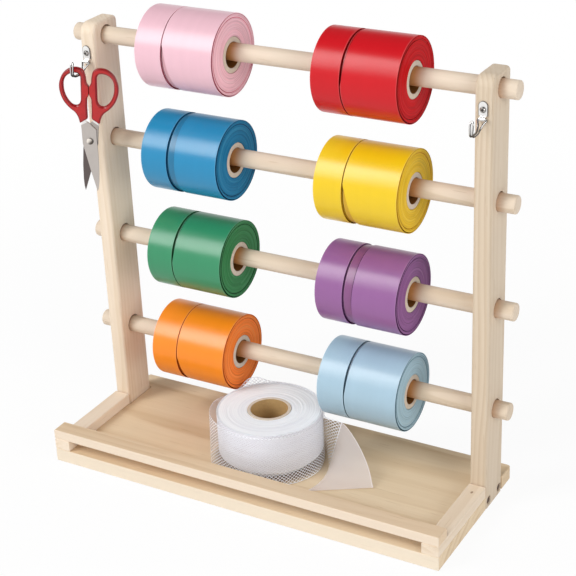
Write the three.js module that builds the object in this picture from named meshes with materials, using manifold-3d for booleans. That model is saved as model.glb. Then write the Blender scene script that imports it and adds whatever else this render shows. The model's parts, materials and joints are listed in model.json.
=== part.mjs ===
// Ribbon storage rack: a pine frame with four loose dowels that carry satin ribbon rolls,
// a hook on each upright with scissors on the left one, and a mesh ribbon roll in the tray.
// Millimetres, +X right, +Y to the back, +Z up. The origin is the middle of the base, on the table.
import * as THREE from "three";
import { mergeVertices } from "three/addons/utils/BufferGeometryUtils.js";
import Module from "manifold-3d";

const wasm = await Module();
wasm.setup();

// Frame
const baseWidth = 400;
const baseDepth = 160;
const boardThickness = 13.5;
const boardBehindUpright = 22;
const backCornerRadius = 3;
const railHeight = 11;
const stripHeight = 9.5;
const stripDepth = 16.5;
const boardChamfer = 0.6;
const uprightHeight = 404;
const uprightThickness = 16;
const uprightDepth = 37;
const uprightEdgeRound = 3;
const uprightFrontTopRadius = 10;
const uprightBackTopRadius = 4.5;
const footClearance = 0.2;

// Foot screws, driven from the outer faces into the base board
const footScrewEdgeInset = 7;
const footScrewHeadRadius = 3.8;
const footScrewHeadHeight = 2.4;
const footScrewShankRadius = 2;
const footScrewLength = 34;
const footScrewSunk = 0.6;
const screwClearance = 0.35;

// Dowels
const dowelDiameter = 16;
const dowelOverhang = 15.5;
const dowelChamfer = 1.2;
const dowelRows = 4;
const topDowelDrop = 14;
const lowestDowelHeight = 95.5;
const dowelHoleDiameter = 17.5;
const dowelSlides = [0, 0.5, 1.5, -1.5];
const seatGap = 0.3;

// Ribbon rolls: two widths side by side for each colour
const rollDiameter = 74;
const coreDiameter = 32;
const coreBore = 23;
const coreGap = 0.3;
const narrowWidth = 27;
const wideWidth = 51;
const rollFaceGap = 0.4;
const leftRollGaps = [55.8, 53.1, 50.4, 47];
const rightRollGaps = [59.6, 60.6, 62.6, 64.1];
const coreInset = 0.3;
const ribbonStrip = 0.6;
const ribbonStripGap = 0.55;
const turnSteps = 24;

// Hooks
const hookInsetLeft = 6.4;
const hookInsetRight = 8;
const plateWidth = 7.8;
const plateHeight = 14.5;
const plateThickness = 1.2;
const plateDrop = 20;
const plateScrewDrop = 7;
const barrelLength = 5;
const barrelRadius = 1.9;
const barrelBore = 2.4;
const barrelStand = 0.2;
const wireRadius = 0.8;
const wireSpread = 2.2;
const wireEntry = 1.8;
const hookBottomDrop = 9.1;
const hookReach = 24.5;
const hookBendRadius = 4;
const hangReach = 18;
const hookTipRise = 13.8;
const hookTipLean = 2;
const hookScrewHeadRadius = 2.6;
const hookScrewHeadHeight = 1.5;
const hookScrewShankRadius = 1.3;
const hookScrewLength = 15;

// Scissors
const scissorTurn = 24;
const scissorTilt = 4;
const handleThickness = 4.6;
const handleEdge = 0.9;
const handleBand = 5;
const loopLift = 1.7;
const bladeThickness = 1.3;
const bladeGap = 0.3;
const tangClearance = 0.35;
const pivotHeadRadius = 3.2;
const pivotHeadHeight = 1.1;
const pivotTailRadius = 2.8;
const pivotShankRadius = 1.8;
const pivotClearance = 0.3;
const stopGap = 0.3;

// Mesh ribbon roll that stands in the tray
const meshRollX = -8.5;
const meshRollY = 1;
const meshRollDiameter = 99;
const meshRollHeight = 49;
const meshCoreDiameter = 41;
const meshCoreBore = 35;
const meshStrip = 0.8;
const meshStripSteps = 60;
const meshFloorGap = 0.1;

// Values that follow from the sizes above
const halfWidth = baseWidth / 2;
const baseFront = -baseDepth / 2;
const baseBack = baseDepth / 2;
const uprightBack = baseBack - boardBehindUpright;
const uprightFront = uprightBack - uprightDepth;
const dowelY = uprightFront + uprightDepth / 2;
const railTop = boardThickness + railHeight;
const dowelPitch = (uprightHeight - topDowelDrop - lowestDowelHeight) / (dowelRows - 1);
const plateTopHeight = uprightHeight - plateDrop;
const pairWidth = narrowWidth + rollFaceGap + wideWidth;
const rollDrop = (coreBore - dowelDiameter) / 2 - seatGap;
const holeLift = (dowelHoleDiameter - dowelDiameter) / 2 - seatGap;
const footScrewHeight = boardThickness / 2;
const degree = Math.PI / 180;

const rollPairs = [
  { colour: "pink", row: 0, side: -1, tint: 0xebc3cd },
  { colour: "red", row: 0, side: 1, tint: 0xd21e28 },
  { colour: "blue", row: 1, side: -1, tint: 0x2d8cb9 },
  { colour: "yellow", row: 1, side: 1, tint: 0xebc83c },
  { colour: "green", row: 2, side: -1, tint: 0x50a07d },
  { colour: "purple", row: 2, side: 1, tint: 0x966ea5 },
  { colour: "orange", row: 3, side: -1, tint: 0xf0963c },
  { colour: "pale_blue", row: 3, side: 1, tint: 0xafcddc },
];

const pine = finish(0xebdac3, 0.62, 0);
const pineDark = finish(0xd9bf9d, 0.66, 0);
const bronze = finish(0x784628, 0.45, 0.6);
const nickel = finish(0xc8c8c8, 0.25, 1);
const steel = finish(0xa59b96, 0.35, 1);
const redPlastic = finish(0xcd322d, 0.4, 0);
const cardboard = finish(0xd7c8b9, 0.85, 0);
const sheer = finish(0xe6e4eb, 0.7, 0);

const rack = new THREE.Group();
rack.name = "ribbon_storage_rack";

function finish(color, roughness, metalness) {
  return new THREE.MeshStandardMaterial({ color, roughness, metalness });
}

function addPiece(name, geometry, material, parent = rack) {
  const mesh = new THREE.Mesh(geometry, material);
  mesh.name = name;
  parent.add(mesh);
  return mesh;
}

// A closed geometry as a manifold solid: only position is kept and shared corners are merged.
function toSolid(geometry) {
  const bare = geometry.index ? geometry.toNonIndexed() : geometry.clone();
  bare.deleteAttribute("normal");
  bare.deleteAttribute("uv");
  const merged = mergeVertices(bare, 1e-4);
  const vertProperties = new Float32Array(merged.attributes.position.array);
  const triVerts = new Uint32Array(merged.index.array);
  return new wasm.Manifold(new wasm.Mesh({ numProp: 3, vertProperties, triVerts }));
}

function toGeometry(solid) {
  const mesh = solid.getMesh();
  const geometry = new THREE.BufferGeometry();
  geometry.setAttribute("position", new THREE.BufferAttribute(new Float32Array(mesh.vertProperties), 3));
  geometry.setIndex(new THREE.BufferAttribute(new Uint32Array(mesh.triVerts), 1));
  return geometry;
}

function cut(geometry, tools) {
  return toGeometry(tools.reduce((solid, tool) => solid.subtract(toSolid(tool)), toSolid(geometry)));
}

function join(geometries) {
  const [first, ...rest] = geometries.map(toSolid);
  return toGeometry(rest.reduce((solid, other) => solid.add(other), first));
}

// A box from its low corner to its high corner, with a small chamfer on every edge.
function chamferedBox(low, high, chamfer) {
  const size = high.map((value, i) => value - low[i]);
  const outline = new THREE.Shape([
    new THREE.Vector2(0, 0),
    new THREE.Vector2(size[0], 0),
    new THREE.Vector2(size[0], size[1]),
    new THREE.Vector2(0, size[1]),
  ]);
  const geometry = chamferedPlate(outline, size[2], chamfer);
  geometry.translate(...low);
  return geometry;
}

// An outline in X and Y given a height along Z, its top and bottom edges chamfered or rounded.
function chamferedPlate(outline, height, edge, edgeSteps = 1) {
  const geometry = new THREE.ExtrudeGeometry(outline, {
    depth: height - 2 * edge,
    bevelEnabled: true,
    bevelThickness: edge,
    bevelSize: edge,
    bevelOffset: -edge,
    bevelSegments: edgeSteps,
    curveSegments: 6,
  });
  geometry.translate(0, 0, edge);
  return geometry;
}

function rodAlongX(radius, from, to, y, z, sides = 32) {
  const geometry = new THREE.CylinderGeometry(radius, radius, to - from, sides);
  geometry.rotateZ(-Math.PI / 2);
  geometry.translate((from + to) / 2, y, z);
  return geometry;
}

function rodAlongY(radius, from, to, x, z, sides = 16) {
  const geometry = new THREE.CylinderGeometry(radius, radius, to - from, sides);
  geometry.translate(x, (from + to) / 2, z);
  return geometry;
}

// A turned piece from [radius, height] pairs that run up its axis, which is Y until it is placed.
function turned(profile, sides) {
  return new THREE.LatheGeometry(profile.map(([r, h]) => new THREE.Vector2(r, h)), sides);
}

// Base: the board with a notch in each end for an upright's foot, the rails and the strip.
function baseBoard() {
  const notchX = halfWidth - uprightThickness - footClearance;
  const notchFront = uprightFront - footClearance;
  const notchBack = uprightBack + footClearance;
  const r = backCornerRadius;
  const outline = new THREE.Shape();
  outline.moveTo(-halfWidth, baseFront);
  outline.lineTo(halfWidth, baseFront);
  outline.lineTo(halfWidth, notchFront);
  outline.lineTo(notchX, notchFront);
  outline.lineTo(notchX, notchBack);
  outline.lineTo(halfWidth, notchBack);
  outline.absarc(halfWidth - r, baseBack - r, r, 0, Math.PI / 2);
  outline.absarc(-halfWidth + r, baseBack - r, r, Math.PI / 2, Math.PI);
  outline.lineTo(-halfWidth, notchBack);
  outline.lineTo(-notchX, notchBack);
  outline.lineTo(-notchX, notchFront);
  outline.lineTo(-halfWidth, notchFront);
  outline.closePath();
  const pilots = [-1, 1].flatMap((side) =>
    footScrewPlaces().map((y) => {
      const deepest = halfWidth - footScrewLength - 2 * footScrewSunk;
      const from = Math.min(side * deepest, side * halfWidth);
      const to = Math.max(side * deepest, side * halfWidth);
      return rodAlongX(footScrewShankRadius + screwClearance, from, to, y, footScrewHeight, 16);
    })
  );
  return cut(chamferedPlate(outline, boardThickness, boardChamfer), pilots);
}

function footScrewPlaces() {
  return [uprightFront + footScrewEdgeInset, uprightBack - footScrewEdgeInset];
}

function sideRail(side) {
  const inner = side * (halfWidth - uprightThickness);
  const outer = side * halfWidth;
  const low = [Math.min(inner, outer), baseFront, boardThickness];
  const high = [Math.max(inner, outer), uprightFront - footClearance, railTop];
  return chamferedBox(low, high, boardChamfer);
}

addPiece("base_board", baseBoard(), pine);
addPiece("side_rail_left", sideRail(-1), pine);
addPiece("side_rail_right", sideRail(1), pine);
addPiece(
  "front_strip",
  chamferedBox(
    [-halfWidth, baseFront, railTop], [halfWidth, baseFront + stripDepth, railTop + stripHeight], boardChamfer),
  pine
);

// Uprights: one board each, its long edges rounded, with dowel holes, screw holes and a square foot.
function uprightOutline() {
  const belowFoot = 2 * uprightEdgeRound;
  const top = uprightHeight;
  const outline = new THREE.Shape();
  outline.moveTo(belowFoot, uprightFront);
  outline.lineTo(belowFoot, uprightBack);
  outline.lineTo(-top + uprightBackTopRadius, uprightBack);
  outline.absarc(-top + uprightBackTopRadius, uprightBack - uprightBackTopRadius, uprightBackTopRadius,
    Math.PI / 2, Math.PI);
  outline.lineTo(-top, uprightFront + uprightFrontTopRadius);
  outline.absarc(-top + uprightFrontTopRadius, uprightFront + uprightFrontTopRadius, uprightFrontTopRadius,
    Math.PI, 1.5 * Math.PI);
  outline.closePath();
  return outline;
}

function upright(side) {
  const inner = side * (halfWidth - uprightThickness);
  const outer = side * halfWidth;
  const low = Math.min(inner, outer);
  const high = Math.max(inner, outer);
  const board = chamferedPlate(uprightOutline(), uprightThickness, uprightEdgeRound, 3);
  board.rotateY(Math.PI / 2);
  board.translate(low, 0, 0);

  const below = new THREE.BoxGeometry(2 * uprightThickness, 2 * uprightDepth, 40);
  below.translate((low + high) / 2, dowelY, -20);
  const dowelHoles = dowelHeights().map((z) =>
    rodAlongX(dowelHoleDiameter / 2, low - 1, high + 1, dowelY, z + holeLift)
  );
  const shankHoles = footScrewPlaces().map((y) =>
    rodAlongX(footScrewShankRadius + screwClearance, low - 1, high + 1, y, footScrewHeight, 16)
  );
  const sunk = footScrewHeadHeight + footScrewSunk + screwClearance;
  const headHoles = footScrewPlaces().map((y) =>
    rodAlongX(footScrewHeadRadius + screwClearance, Math.min(outer + side, outer - side * sunk),
      Math.max(outer + side, outer - side * sunk), y, footScrewHeight, 20)
  );
  const hookPilot = rodAlongY(hookScrewShankRadius + screwClearance, uprightFront - 1,
    uprightFront + hookScrewLength, hookX(side), plateTopHeight - plateScrewDrop, 12);
  return cut(board, [below, ...dowelHoles, ...shankHoles, ...headHoles, hookPilot]);
}

// Heights of the dowels' axes, from the top row down.
function dowelHeights() {
  return Array.from({ length: dowelRows }, (_, row) => uprightHeight - topDowelDrop - row * dowelPitch);
}

function hookX(side) {
  return side < 0 ? -halfWidth + hookInsetLeft : halfWidth - hookInsetRight;
}

addPiece("upright_left", upright(-1), pine);
addPiece("upright_right", upright(1), pine);

// Foot screws: a domed head sunk under the outer face, and a plain shank with a pointed end.
function footScrew(side, y) {
  const r = footScrewShankRadius;
  const head = footScrewHeadRadius;
  const total = footScrewLength;
  const screw = turned([
    [0, 0], [0.6, 0], [r, 3.5], [r, total - footScrewHeadHeight], [head, total - 0.9], [0.75 * head, total - 0.2],
    [0, total],
  ], 16);
  screw.rotateZ(side < 0 ? Math.PI / 2 : -Math.PI / 2);
  screw.translate(side * (halfWidth - footScrewSunk - total), y, footScrewHeight);
  return screw;
}

for (const [end, side] of [["left", -1], ["right", 1]]) {
  const [front, rear] = footScrewPlaces();
  addPiece(`foot_screw_${end}_front`, footScrew(side, front), bronze);
  addPiece(`foot_screw_${end}_rear`, footScrew(side, rear), bronze);
}

// Dowels, one for each row, each pushed a little its own way.
function dowel() {
  const r = dowelDiameter / 2;
  const length = baseWidth + 2 * dowelOverhang;
  const geometry = turned([
    [0, 0], [r - dowelChamfer, 0], [r, dowelChamfer], [r, length - dowelChamfer], [r - dowelChamfer, length],
    [0, length],
  ], 32);
  geometry.rotateZ(-Math.PI / 2);
  geometry.translate(-length / 2, 0, 0);
  return geometry;
}

dowelHeights().forEach((z, row) => {
  const mesh = addPiece(`dowel_${row + 1}`, dowel(), pineDark);
  mesh.position.set(dowelSlides[row], dowelY, z);
});

// A wound roll in outline: a solid drum of tight turns, and the outermost turn standing off it.
// The turn leaves the drum, rises to its full gap over a quarter turn and ends above its own start.
// Angle 0 is where it leaves; startAngle turns the whole outline.
function woundOutline(outerRadius, boreRadius, strip, gap, steps, startAngle) {
  const drum = outerRadius - strip - gap;
  const at = (radius, i) => {
    const angle = startAngle + (2 * Math.PI * i) / steps;
    return new THREE.Vector2(radius * Math.cos(angle), radius * Math.sin(angle));
  };
  const rise = (i) => THREE.MathUtils.smoothstep(i, 0, steps / 4) * (strip + gap);
  const rootGap = 0.9 * gap;
  const indices = Array.from({ length: steps + 1 }, (_, i) => i);
  const root = indices.find((i) => rise(i) - strip >= rootGap);
  const outer = indices.map((i) => at(drum + rise(i), i));
  const inner = indices.slice(root).reverse().map((i) => at(drum + rise(i) - strip, i));
  const seat = indices.slice(root, steps).map((i) => at(drum, i));
  const shape = new THREE.Shape([...outer, ...inner, ...seat]);
  const bore = indices.slice(0, steps).map((i) => at(boreRadius, -i));
  shape.holes.push(new THREE.Path(bore));
  return { shape, gap: leastGap(inner, [...seat, outer[0]]) };
}

// The least distance from a run of points to a run of straight edges.
function leastGap(points, edges) {
  let least = Infinity;
  for (const point of points) {
    for (let i = 1; i < edges.length; i += 1) {
      const along = edges[i].clone().sub(edges[i - 1]);
      const share = THREE.MathUtils.clamp(point.clone().sub(edges[i - 1]).dot(along) / along.lengthSq(), 0, 1);
      least = Math.min(least, point.distanceTo(edges[i - 1].clone().addScaledVector(along, share)));
    }
  }
  return least;
}

function ribbonRoll(width, startAngle) {
  const bore = coreDiameter / 2 + coreGap;
  const { shape, gap } = woundOutline(rollDiameter / 2, bore, ribbonStrip, ribbonStripGap, turnSteps, startAngle);
  const geometry = new THREE.ExtrudeGeometry(shape, { depth: width, bevelEnabled: false });
  geometry.rotateY(Math.PI / 2);
  return { geometry, gap };
}

// A cardboard tube from height 0, standing on its end.
function tube(outerRadius, boreRadius, length, sides) {
  const geometry = turned([
    [boreRadius, 0], [outerRadius, 0], [outerRadius, length], [boreRadius, length], [boreRadius, 0],
  ], sides);
  return geometry;
}

// A pair's left end: left pairs are placed from the left upright, right pairs from the right one.
function pairLeft(row, side) {
  const inside = halfWidth - uprightThickness;
  return side < 0 ? -inside + leftRollGaps[row] : inside - rightRollGaps[row] - pairWidth;
}

let smallestRollGap = Infinity;
for (const { colour, row, side, tint } of rollPairs) {
  const left = pairLeft(row, side);
  const satin = finish(tint, 0.38, 0);
  const z = dowelHeights()[row] - rollDrop;
  const widths = [["narrow", narrowWidth, left], ["wide", wideWidth, left + narrowWidth + rollFaceGap]];
  for (const [size, width, x] of widths) {
    const startAngle = (size === "narrow" ? 20 : 65) * degree;
    const roll = ribbonRoll(width, startAngle);
    smallestRollGap = Math.min(smallestRollGap, roll.gap);
    addPiece(`ribbon_${colour}_${size}`, roll.geometry, satin).position.set(x, dowelY, z);
    const core = tube(coreDiameter / 2, coreBore / 2, width - 2 * coreInset, turnSteps);
    core.rotateZ(-Math.PI / 2);
    addPiece(`core_${colour}_${size}`, core, cardboard).position.set(x + coreInset, dowelY, z);
  }
}
console.log(`ribbon rolls: least gap of the outer turn ${smallestRollGap.toFixed(2)} mm`);

// Hooks: a screwed plate with a rolled barrel at its foot, and a doubled wire bent into a J.
function hookPlate() {
  const half = plateWidth / 2;
  const bottom = -plateHeight;
  const outline = new THREE.Shape();
  outline.moveTo(-half, bottom);
  outline.lineTo(half, bottom);
  outline.lineTo(half, -half);
  outline.absarc(0, -half, half, 0, Math.PI);
  outline.closePath();
  const hole = new THREE.Path();
  hole.absarc(0, -plateScrewDrop, hookScrewShankRadius + screwClearance, 0, 2 * Math.PI, true);
  outline.holes.push(hole);
  const plate = new THREE.ExtrudeGeometry(outline, { depth: plateThickness, bevelEnabled: false, curveSegments: 7 });
  plate.rotateX(Math.PI / 2);

  const barrelY = -barrelStand - barrelRadius;
  const barrel = rodAlongX(barrelRadius, -barrelLength / 2, barrelLength / 2, barrelY, barrelDrop(), 16);
  const bore = rodAlongX(barrelBore / 2, -half - 1, half + 1, barrelY, barrelDrop(), 12);
  const ears = new THREE.BoxGeometry(plateWidth + 2, 2 * barrelRadius + 1, 2 * barrelRadius + 1);
  const earWidth = (plateWidth - barrelLength) / 2;
  const sideCuts = [-1, 1].map((side) => {
    const geometry = ears.clone();
    geometry.scale((earWidth + 1) / (plateWidth + 2), 1, 1);
    geometry.translate(side * (half + 0.5 - earWidth / 2), barrelY, barrelDrop());
    return geometry;
  });
  return cut(join([plate, barrel]), [bore, ...sideCuts]);
}

function barrelDrop() {
  return -plateHeight;
}

// The wire's route in the hook's own frame: X across, Y to the back from the upright's face, Z up.
// It starts inside the barrel, runs down one leg and round the J, turns at the tip and comes back.
function hookRoute() {
  const barrelY = -barrelStand - barrelRadius;
  const barrelEnd = barrelLength / 2;
  const bottom = barrelDrop() - hookBottomDrop + wireRadius;
  const bendY = -hookReach + hookBendRadius;
  const half = wireSpread / 2;
  const leg = [
    [barrelEnd - wireEntry, barrelY, barrelDrop()],
    [barrelEnd + 0.3, barrelY, barrelDrop()],
    [barrelEnd + wireRadius + 0.4, barrelY - 0.8, barrelDrop() - 0.8],
    [half + 1.2, barrelY - 3.5, barrelDrop() - 3],
    [half, barrelY - 7.5, bottom + 1.6],
    [half, barrelY - 11, bottom + 0.1],
    [half, bendY, bottom],
  ];
  for (const angle of [30, 60, 90]) {
    const y = bendY - hookBendRadius * Math.sin(angle * degree);
    leg.push([half, y, bottom + hookBendRadius * (1 - Math.cos(angle * degree))]);
  }
  leg.push([half, -hookReach + 0.5 * hookTipLean, bottom + hookTipRise - 2 * half]);
  const tip = [0, -hookReach + hookTipLean, bottom + hookTipRise - wireRadius];
  const back = leg.map(([x, y, z]) => [-x, y, z]).reverse();
  return [...leg, tip, ...back].map((point) => new THREE.Vector3(...point));
}

function hookWire() {
  const section = new THREE.Shape();
  section.absarc(0, 0, wireRadius, 0, 2 * Math.PI);
  const extrudePath = new THREE.CatmullRomCurve3(hookRoute(), false, "centripetal");
  return new THREE.ExtrudeGeometry(section, { steps: 56, extrudePath, curveSegments: 3 });
}

function hookScrew() {
  const shank = hookScrewShankRadius;
  const head = hookScrewHeadRadius;
  const seat = hookScrewLength - 1;
  const screw = turned([
    [0, 0], [0.4, 0], [shank, 2.5], [shank, seat], [head, seat], [head, seat + 0.5],
    [0.6 * head, seat + hookScrewHeadHeight], [0, seat + hookScrewHeadHeight],
  ], 14);
  screw.rotateX(Math.PI);
  screw.translate(0, seat - plateThickness - 0.05, -plateScrewDrop);
  return screw;
}

for (const [end, side] of [["left", -1], ["right", 1]]) {
  const hook = new THREE.Group();
  hook.position.set(hookX(side), uprightFront, plateTopHeight);
  rack.add(hook);
  addPiece(`hook_plate_${end}`, hookPlate(), nickel, hook);
  addPiece(`hook_wire_${end}`, hookWire(), nickel, hook);
  addPiece(`hook_screw_${end}`, hookScrew(), nickel, hook);
}

// Scissors, drawn in their own plane with the pivot at the origin: u to the right, v up.
// The left half's handle is drawn; the right half's is its mirror image.
const loopPoints = [
  [-2, 55.5], [-2.6, 60.5], [-4.2, 66.6], [-7.2, 69.1], [-13.2, 69.7], [-18.5, 67.9], [-23.5, 63.3], [-26.4, 56.9],
  [-27.3, 51.5], [-26.6, 45.4], [-24.3, 38.9], [-21.4, 34.5], [-17.1, 30.1], [-13.8, 27.6], [-11.1, 23.8],
  [-9.7, 19.7],
];
const loopHoleSide = [[-7.6, 39], [-7.5, 60.8]];
const loopHolePoints = [
  [-9.3, 63.9], [-13.3, 64.4], [-16.6, 63.6], [-20.3, 61.1], [-22.6, 56.9], [-23.1, 51.5], [-22.3, 45.4],
  [-20, 40], [-16.7, 35.7], [-13.5, 33.9], [-10.2, 34.4], [-8.4, 36.5],
];
const hangU = -11.05;
const loopTopV = 64.2;
const bridgeTopV = 52.2;
const hangV = loopTopV + handleBand / 2;

function points2(list, mirror) {
  return list.map(([u, v]) => new THREE.Vector2(mirror * u, v));
}

// A closed run of points turned to run the wanted way round.
function wound(points, clockwise) {
  return THREE.ShapeUtils.isClockWise(points) === clockwise ? points : points.reverse();
}

function smoothRun(start, list, mirror) {
  return new THREE.SplineCurve(points2([start, ...list], mirror)).getPoints(2 * list.length).slice(1);
}

function handleOutline(mirror) {
  const bridgeTop = [-stopGap / 2, bridgeTopV];
  const inner = [[-1.8, 21.5], [-2.1, 31], [-2, 40.5], [-stopGap / 2, 44.2], bridgeTop];
  const outer = smoothRun(bridgeTop, loopPoints, mirror);
  const outline = new THREE.Shape(
    wound([...points2(inner, mirror), ...outer, ...points2([[-9.1, 16.8]], mirror)], false));
  const holeCurve = smoothRun(loopHoleSide[1], loopHolePoints, mirror);
  outline.holes.push(new THREE.Path(wound([...points2(loopHoleSide, mirror), ...holeCurve], true)));
  return outline;
}

// Extruded in the plane, then stood up so that v is Z and the thickness runs along Y.
function standUp(geometry) {
  geometry.rotateX(Math.PI / 2);
  return geometry;
}

function handle(mirror) {
  const body = new THREE.ExtrudeGeometry(handleOutline(mirror), {
    depth: handleThickness - 2 * handleEdge,
    bevelEnabled: true,
    bevelThickness: handleEdge,
    bevelSize: handleEdge,
    bevelOffset: -handleEdge,
    bevelSegments: 1,
    curveSegments: 3,
  });
  body.translate(0, 0, handleEdge - handleThickness / 2);
  const [low, high] = bladeLayer(mirror);
  const pocket = new THREE.ExtrudeGeometry(new THREE.Shape(wound(points2(tangPocket(), mirror), false)), {
    depth: high - low + 2 * tangClearance,
    bevelEnabled: false,
  });
  pocket.translate(0, 0, low - tangClearance);
  return standUp(cut(body, [pocket]));
}

// The front blade lies on the viewer's side of the middle plane, the rear blade behind it.
function bladeLayer(mirror) {
  return mirror > 0 ? [bladeGap / 2, bladeGap / 2 + bladeThickness] : [-bladeGap / 2 - bladeThickness, -bladeGap / 2];
}

function tangPocket() {
  const c = tangClearance;
  return [[-7.2 - c, 10], [-7.2 - c, 27 + c], [-3.4 + c, 27 + c], [-3.4 + c, 10]];
}

function blade(mirror) {
  const outline = new THREE.Shape(wound(points2([
    [-7.2, 27], [-7.2, 17.2], [-8.1, 15], [-7.7, 10.6], [-7.1, 0.2], [-7, -2.6], [0, -29.3], [5.8, -49.5], [6.8, -45],
    [7.4, -38], [7.6, -24], [7, -9], [6.1, 2], [6, 10.8], [-1.2, 18], [-3.4, 19.2], [-3.4, 27],
  ], mirror), false));
  const hole = new THREE.Path();
  hole.absarc(0, 0, pivotShankRadius + pivotClearance, 0, 2 * Math.PI, true);
  outline.holes.push(hole);
  const [low, high] = bladeLayer(mirror);
  const geometry = new THREE.ExtrudeGeometry(outline, {
    depth: high - low,
    bevelEnabled: false,
    curveSegments: 8,
  });
  geometry.translate(0, 0, low);
  return standUp(geometry);
}

function pivotScrew() {
  const face = bladeGap / 2 + bladeThickness + 0.1;
  const shank = pivotShankRadius;
  return turned([
    [0, -face - pivotHeadHeight], [0.55 * pivotHeadRadius, -face - pivotHeadHeight], [pivotHeadRadius, -face - 0.4],
    [pivotHeadRadius, -face], [shank, -face], [shank, face], [pivotTailRadius, face], [pivotTailRadius, face + 0.5],
    [0, face + 0.8],
  ], 16);
}

const hookBottomTop = plateTopHeight + barrelDrop() - hookBottomDrop + 2 * wireRadius;
const hang = new THREE.Group();
hang.position.set(hookX(-1), uprightFront - hangReach, hookBottomTop + loopLift + handleBand / 2);
hang.rotation.z = scissorTurn * degree;
const scissors = new THREE.Group();
scissors.rotation.y = scissorTilt * degree;
const pivot = new THREE.Group();
pivot.position.set(-hangU, 0, -hangV);
scissors.add(pivot);
hang.add(scissors);
rack.add(hang);
addPiece("scissor_handle_left", handle(1), redPlastic, pivot);
addPiece("scissor_blade_front", blade(1), steel, pivot);
addPiece("scissor_handle_right", handle(-1), redPlastic, pivot);
addPiece("scissor_blade_rear", blade(-1), steel, pivot);
addPiece("scissor_pivot", pivotScrew(), nickel, pivot);

// Mesh ribbon roll: a cardboard core, the wound mesh, and the loose outer turn with its free end.
const trayFloor = boardThickness + seatGap;
const meshRoll = new THREE.Group();
meshRoll.position.set(meshRollX, meshRollY, trayFloor);
rack.add(meshRoll);

const meshWound = woundOutline(
  meshRollDiameter / 2, meshCoreDiameter / 2 + coreGap, ribbonStrip, ribbonStripGap, 32, 100 * degree);
console.log(`mesh roll: least gap of the outer turn ${meshWound.gap.toFixed(2)} mm`);
addPiece(
  "mesh_roll_winding",
  new THREE.ExtrudeGeometry(meshWound.shape, { depth: meshRollHeight, bevelEnabled: false }),
  sheer, meshRoll
);
const meshCore = tube(meshCoreDiameter / 2, meshCoreBore / 2, meshRollHeight + coreInset, 32);
meshCore.rotateX(Math.PI / 2);
addPiece("mesh_roll_core", meshCore, cardboard, meshRoll);

// The loose turn starts against the roll on its right and passes in front, to the left and behind.
// Each step gives its angle, how far its foot and its head stand off the roll, and its height.
const looseTurn = [
  [-10, 1.1, 1.1, 47], [-35, 4, 2.4, 47.5], [-65, 7, 3, 48], [-95, 8, 3, 48], [-125, 8, 4, 48], [-150, 8, 6.5, 48],
  [-170, 7, 6, 47.5], [-184, 4, 3.8, 46.3], [-197, 1.7, 1.4, 45.6], [-207, 1.3, 1.3, 48.5], [-217, 1.3, 1.6, 54.5],
  [-227, 1.3, 1.7, 54.5], [-240, 1.3, 1.4, 49.5], [-258, 1.3, 1.3, 47.8], [-280, 1.3, 1.3, 47.5],
  [-303, 1.3, 1.3, 47], [-325, 1.5, 1.4, 46],
];
// The free end leaves the roll, leans outward and lies down on the tray's floor: each step gives
// its foot's x and y, then its head's x, y and z.
const freeEnd = [
  [53.5, 13, 50, 16.5, 44], [61, -1.5, 66, 18, 41], [64, -17, 82, 13.5, 30], [63.5, -31, 101, 1, 14],
  [60.5, -42, 112.5, -11.5, 0.6],
];

function meshEdges() {
  const around = (angle, off, z) => {
    const r = meshRollDiameter / 2 + off;
    return new THREE.Vector3(r * Math.cos(angle * degree), r * Math.sin(angle * degree), z);
  };
  const feet = [
    ...looseTurn.map(([angle, foot]) => around(angle, foot, 0)),
    ...freeEnd.map(([x, y]) => new THREE.Vector3(x, y, 0)),
  ];
  const heads = [
    ...looseTurn.map(([angle, , head, z]) => around(angle, head, z)),
    ...freeEnd.map(([, , x, y, z]) => new THREE.Vector3(x, y, z)),
  ];
  return [feet, heads].map((points) => new THREE.CatmullRomCurve3(points, false, "centripetal"));
}

// A thin strip between its two edges, raised so that its underside clears the floor.
function meshTail() {
  const [footEdge, headEdge] = meshEdges();
  const half = meshStrip / 2;
  const middle = (t) => footEdge.getPoint(t).add(headEdge.getPoint(t)).multiplyScalar(0.5);
  const rings = [];
  const route = [];
  for (let i = 0; i <= meshStripSteps; i += 1) {
    const t = i / meshStripSteps;
    const foot = footEdge.getPoint(t);
    const head = headEdge.getPoint(t);
    const along = middle(Math.min(t + 0.005, 1)).sub(middle(Math.max(t - 0.005, 0)));
    const side = head.clone().sub(foot).cross(along).normalize();
    const lift = meshFloorGap + half * Math.abs(side.z);
    foot.z += lift;
    head.z += lift;
    rings.push([
      foot.clone().addScaledVector(side, half), head.clone().addScaledVector(side, half),
      head.clone().addScaledVector(side, -half), foot.clone().addScaledVector(side, -half),
    ]);
    route.push(new THREE.Vector2(foot.x, foot.y));
  }
  return { geometry: sweep(rings), route };
}

// Rings of four corners joined into a closed bar.
function sweep(rings) {
  const corners = rings.flat();
  const positions = corners.flatMap((corner) => corner.toArray());
  const index = [0, 2, 1, 0, 3, 2];
  for (let ring = 0; ring < rings.length - 1; ring += 1) {
    for (let k = 0; k < 4; k += 1) {
      const a = 4 * ring + k;
      const b = 4 * ring + ((k + 1) % 4);
      index.push(a, b, b + 4, a, b + 4, a + 4);
    }
  }
  const last = 4 * (rings.length - 1);
  index.push(last, last + 1, last + 2, last, last + 2, last + 3);
  const geometry = new THREE.BufferGeometry();
  geometry.setAttribute("position", new THREE.Float32BufferAttribute(positions, 3));
  geometry.setIndex(index);
  return geometry;
}

const tail = meshTail();
const tailGap = leastGap(tail.route.slice(0, 8), tail.route.slice(30)) - meshStrip;
console.log(`mesh ribbon: least gap of the loose turn to itself ${tailGap.toFixed(2)} mm`);
addPiece("mesh_ribbon_tail", tail.geometry, sheer, meshRoll);

export default rack;
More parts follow.
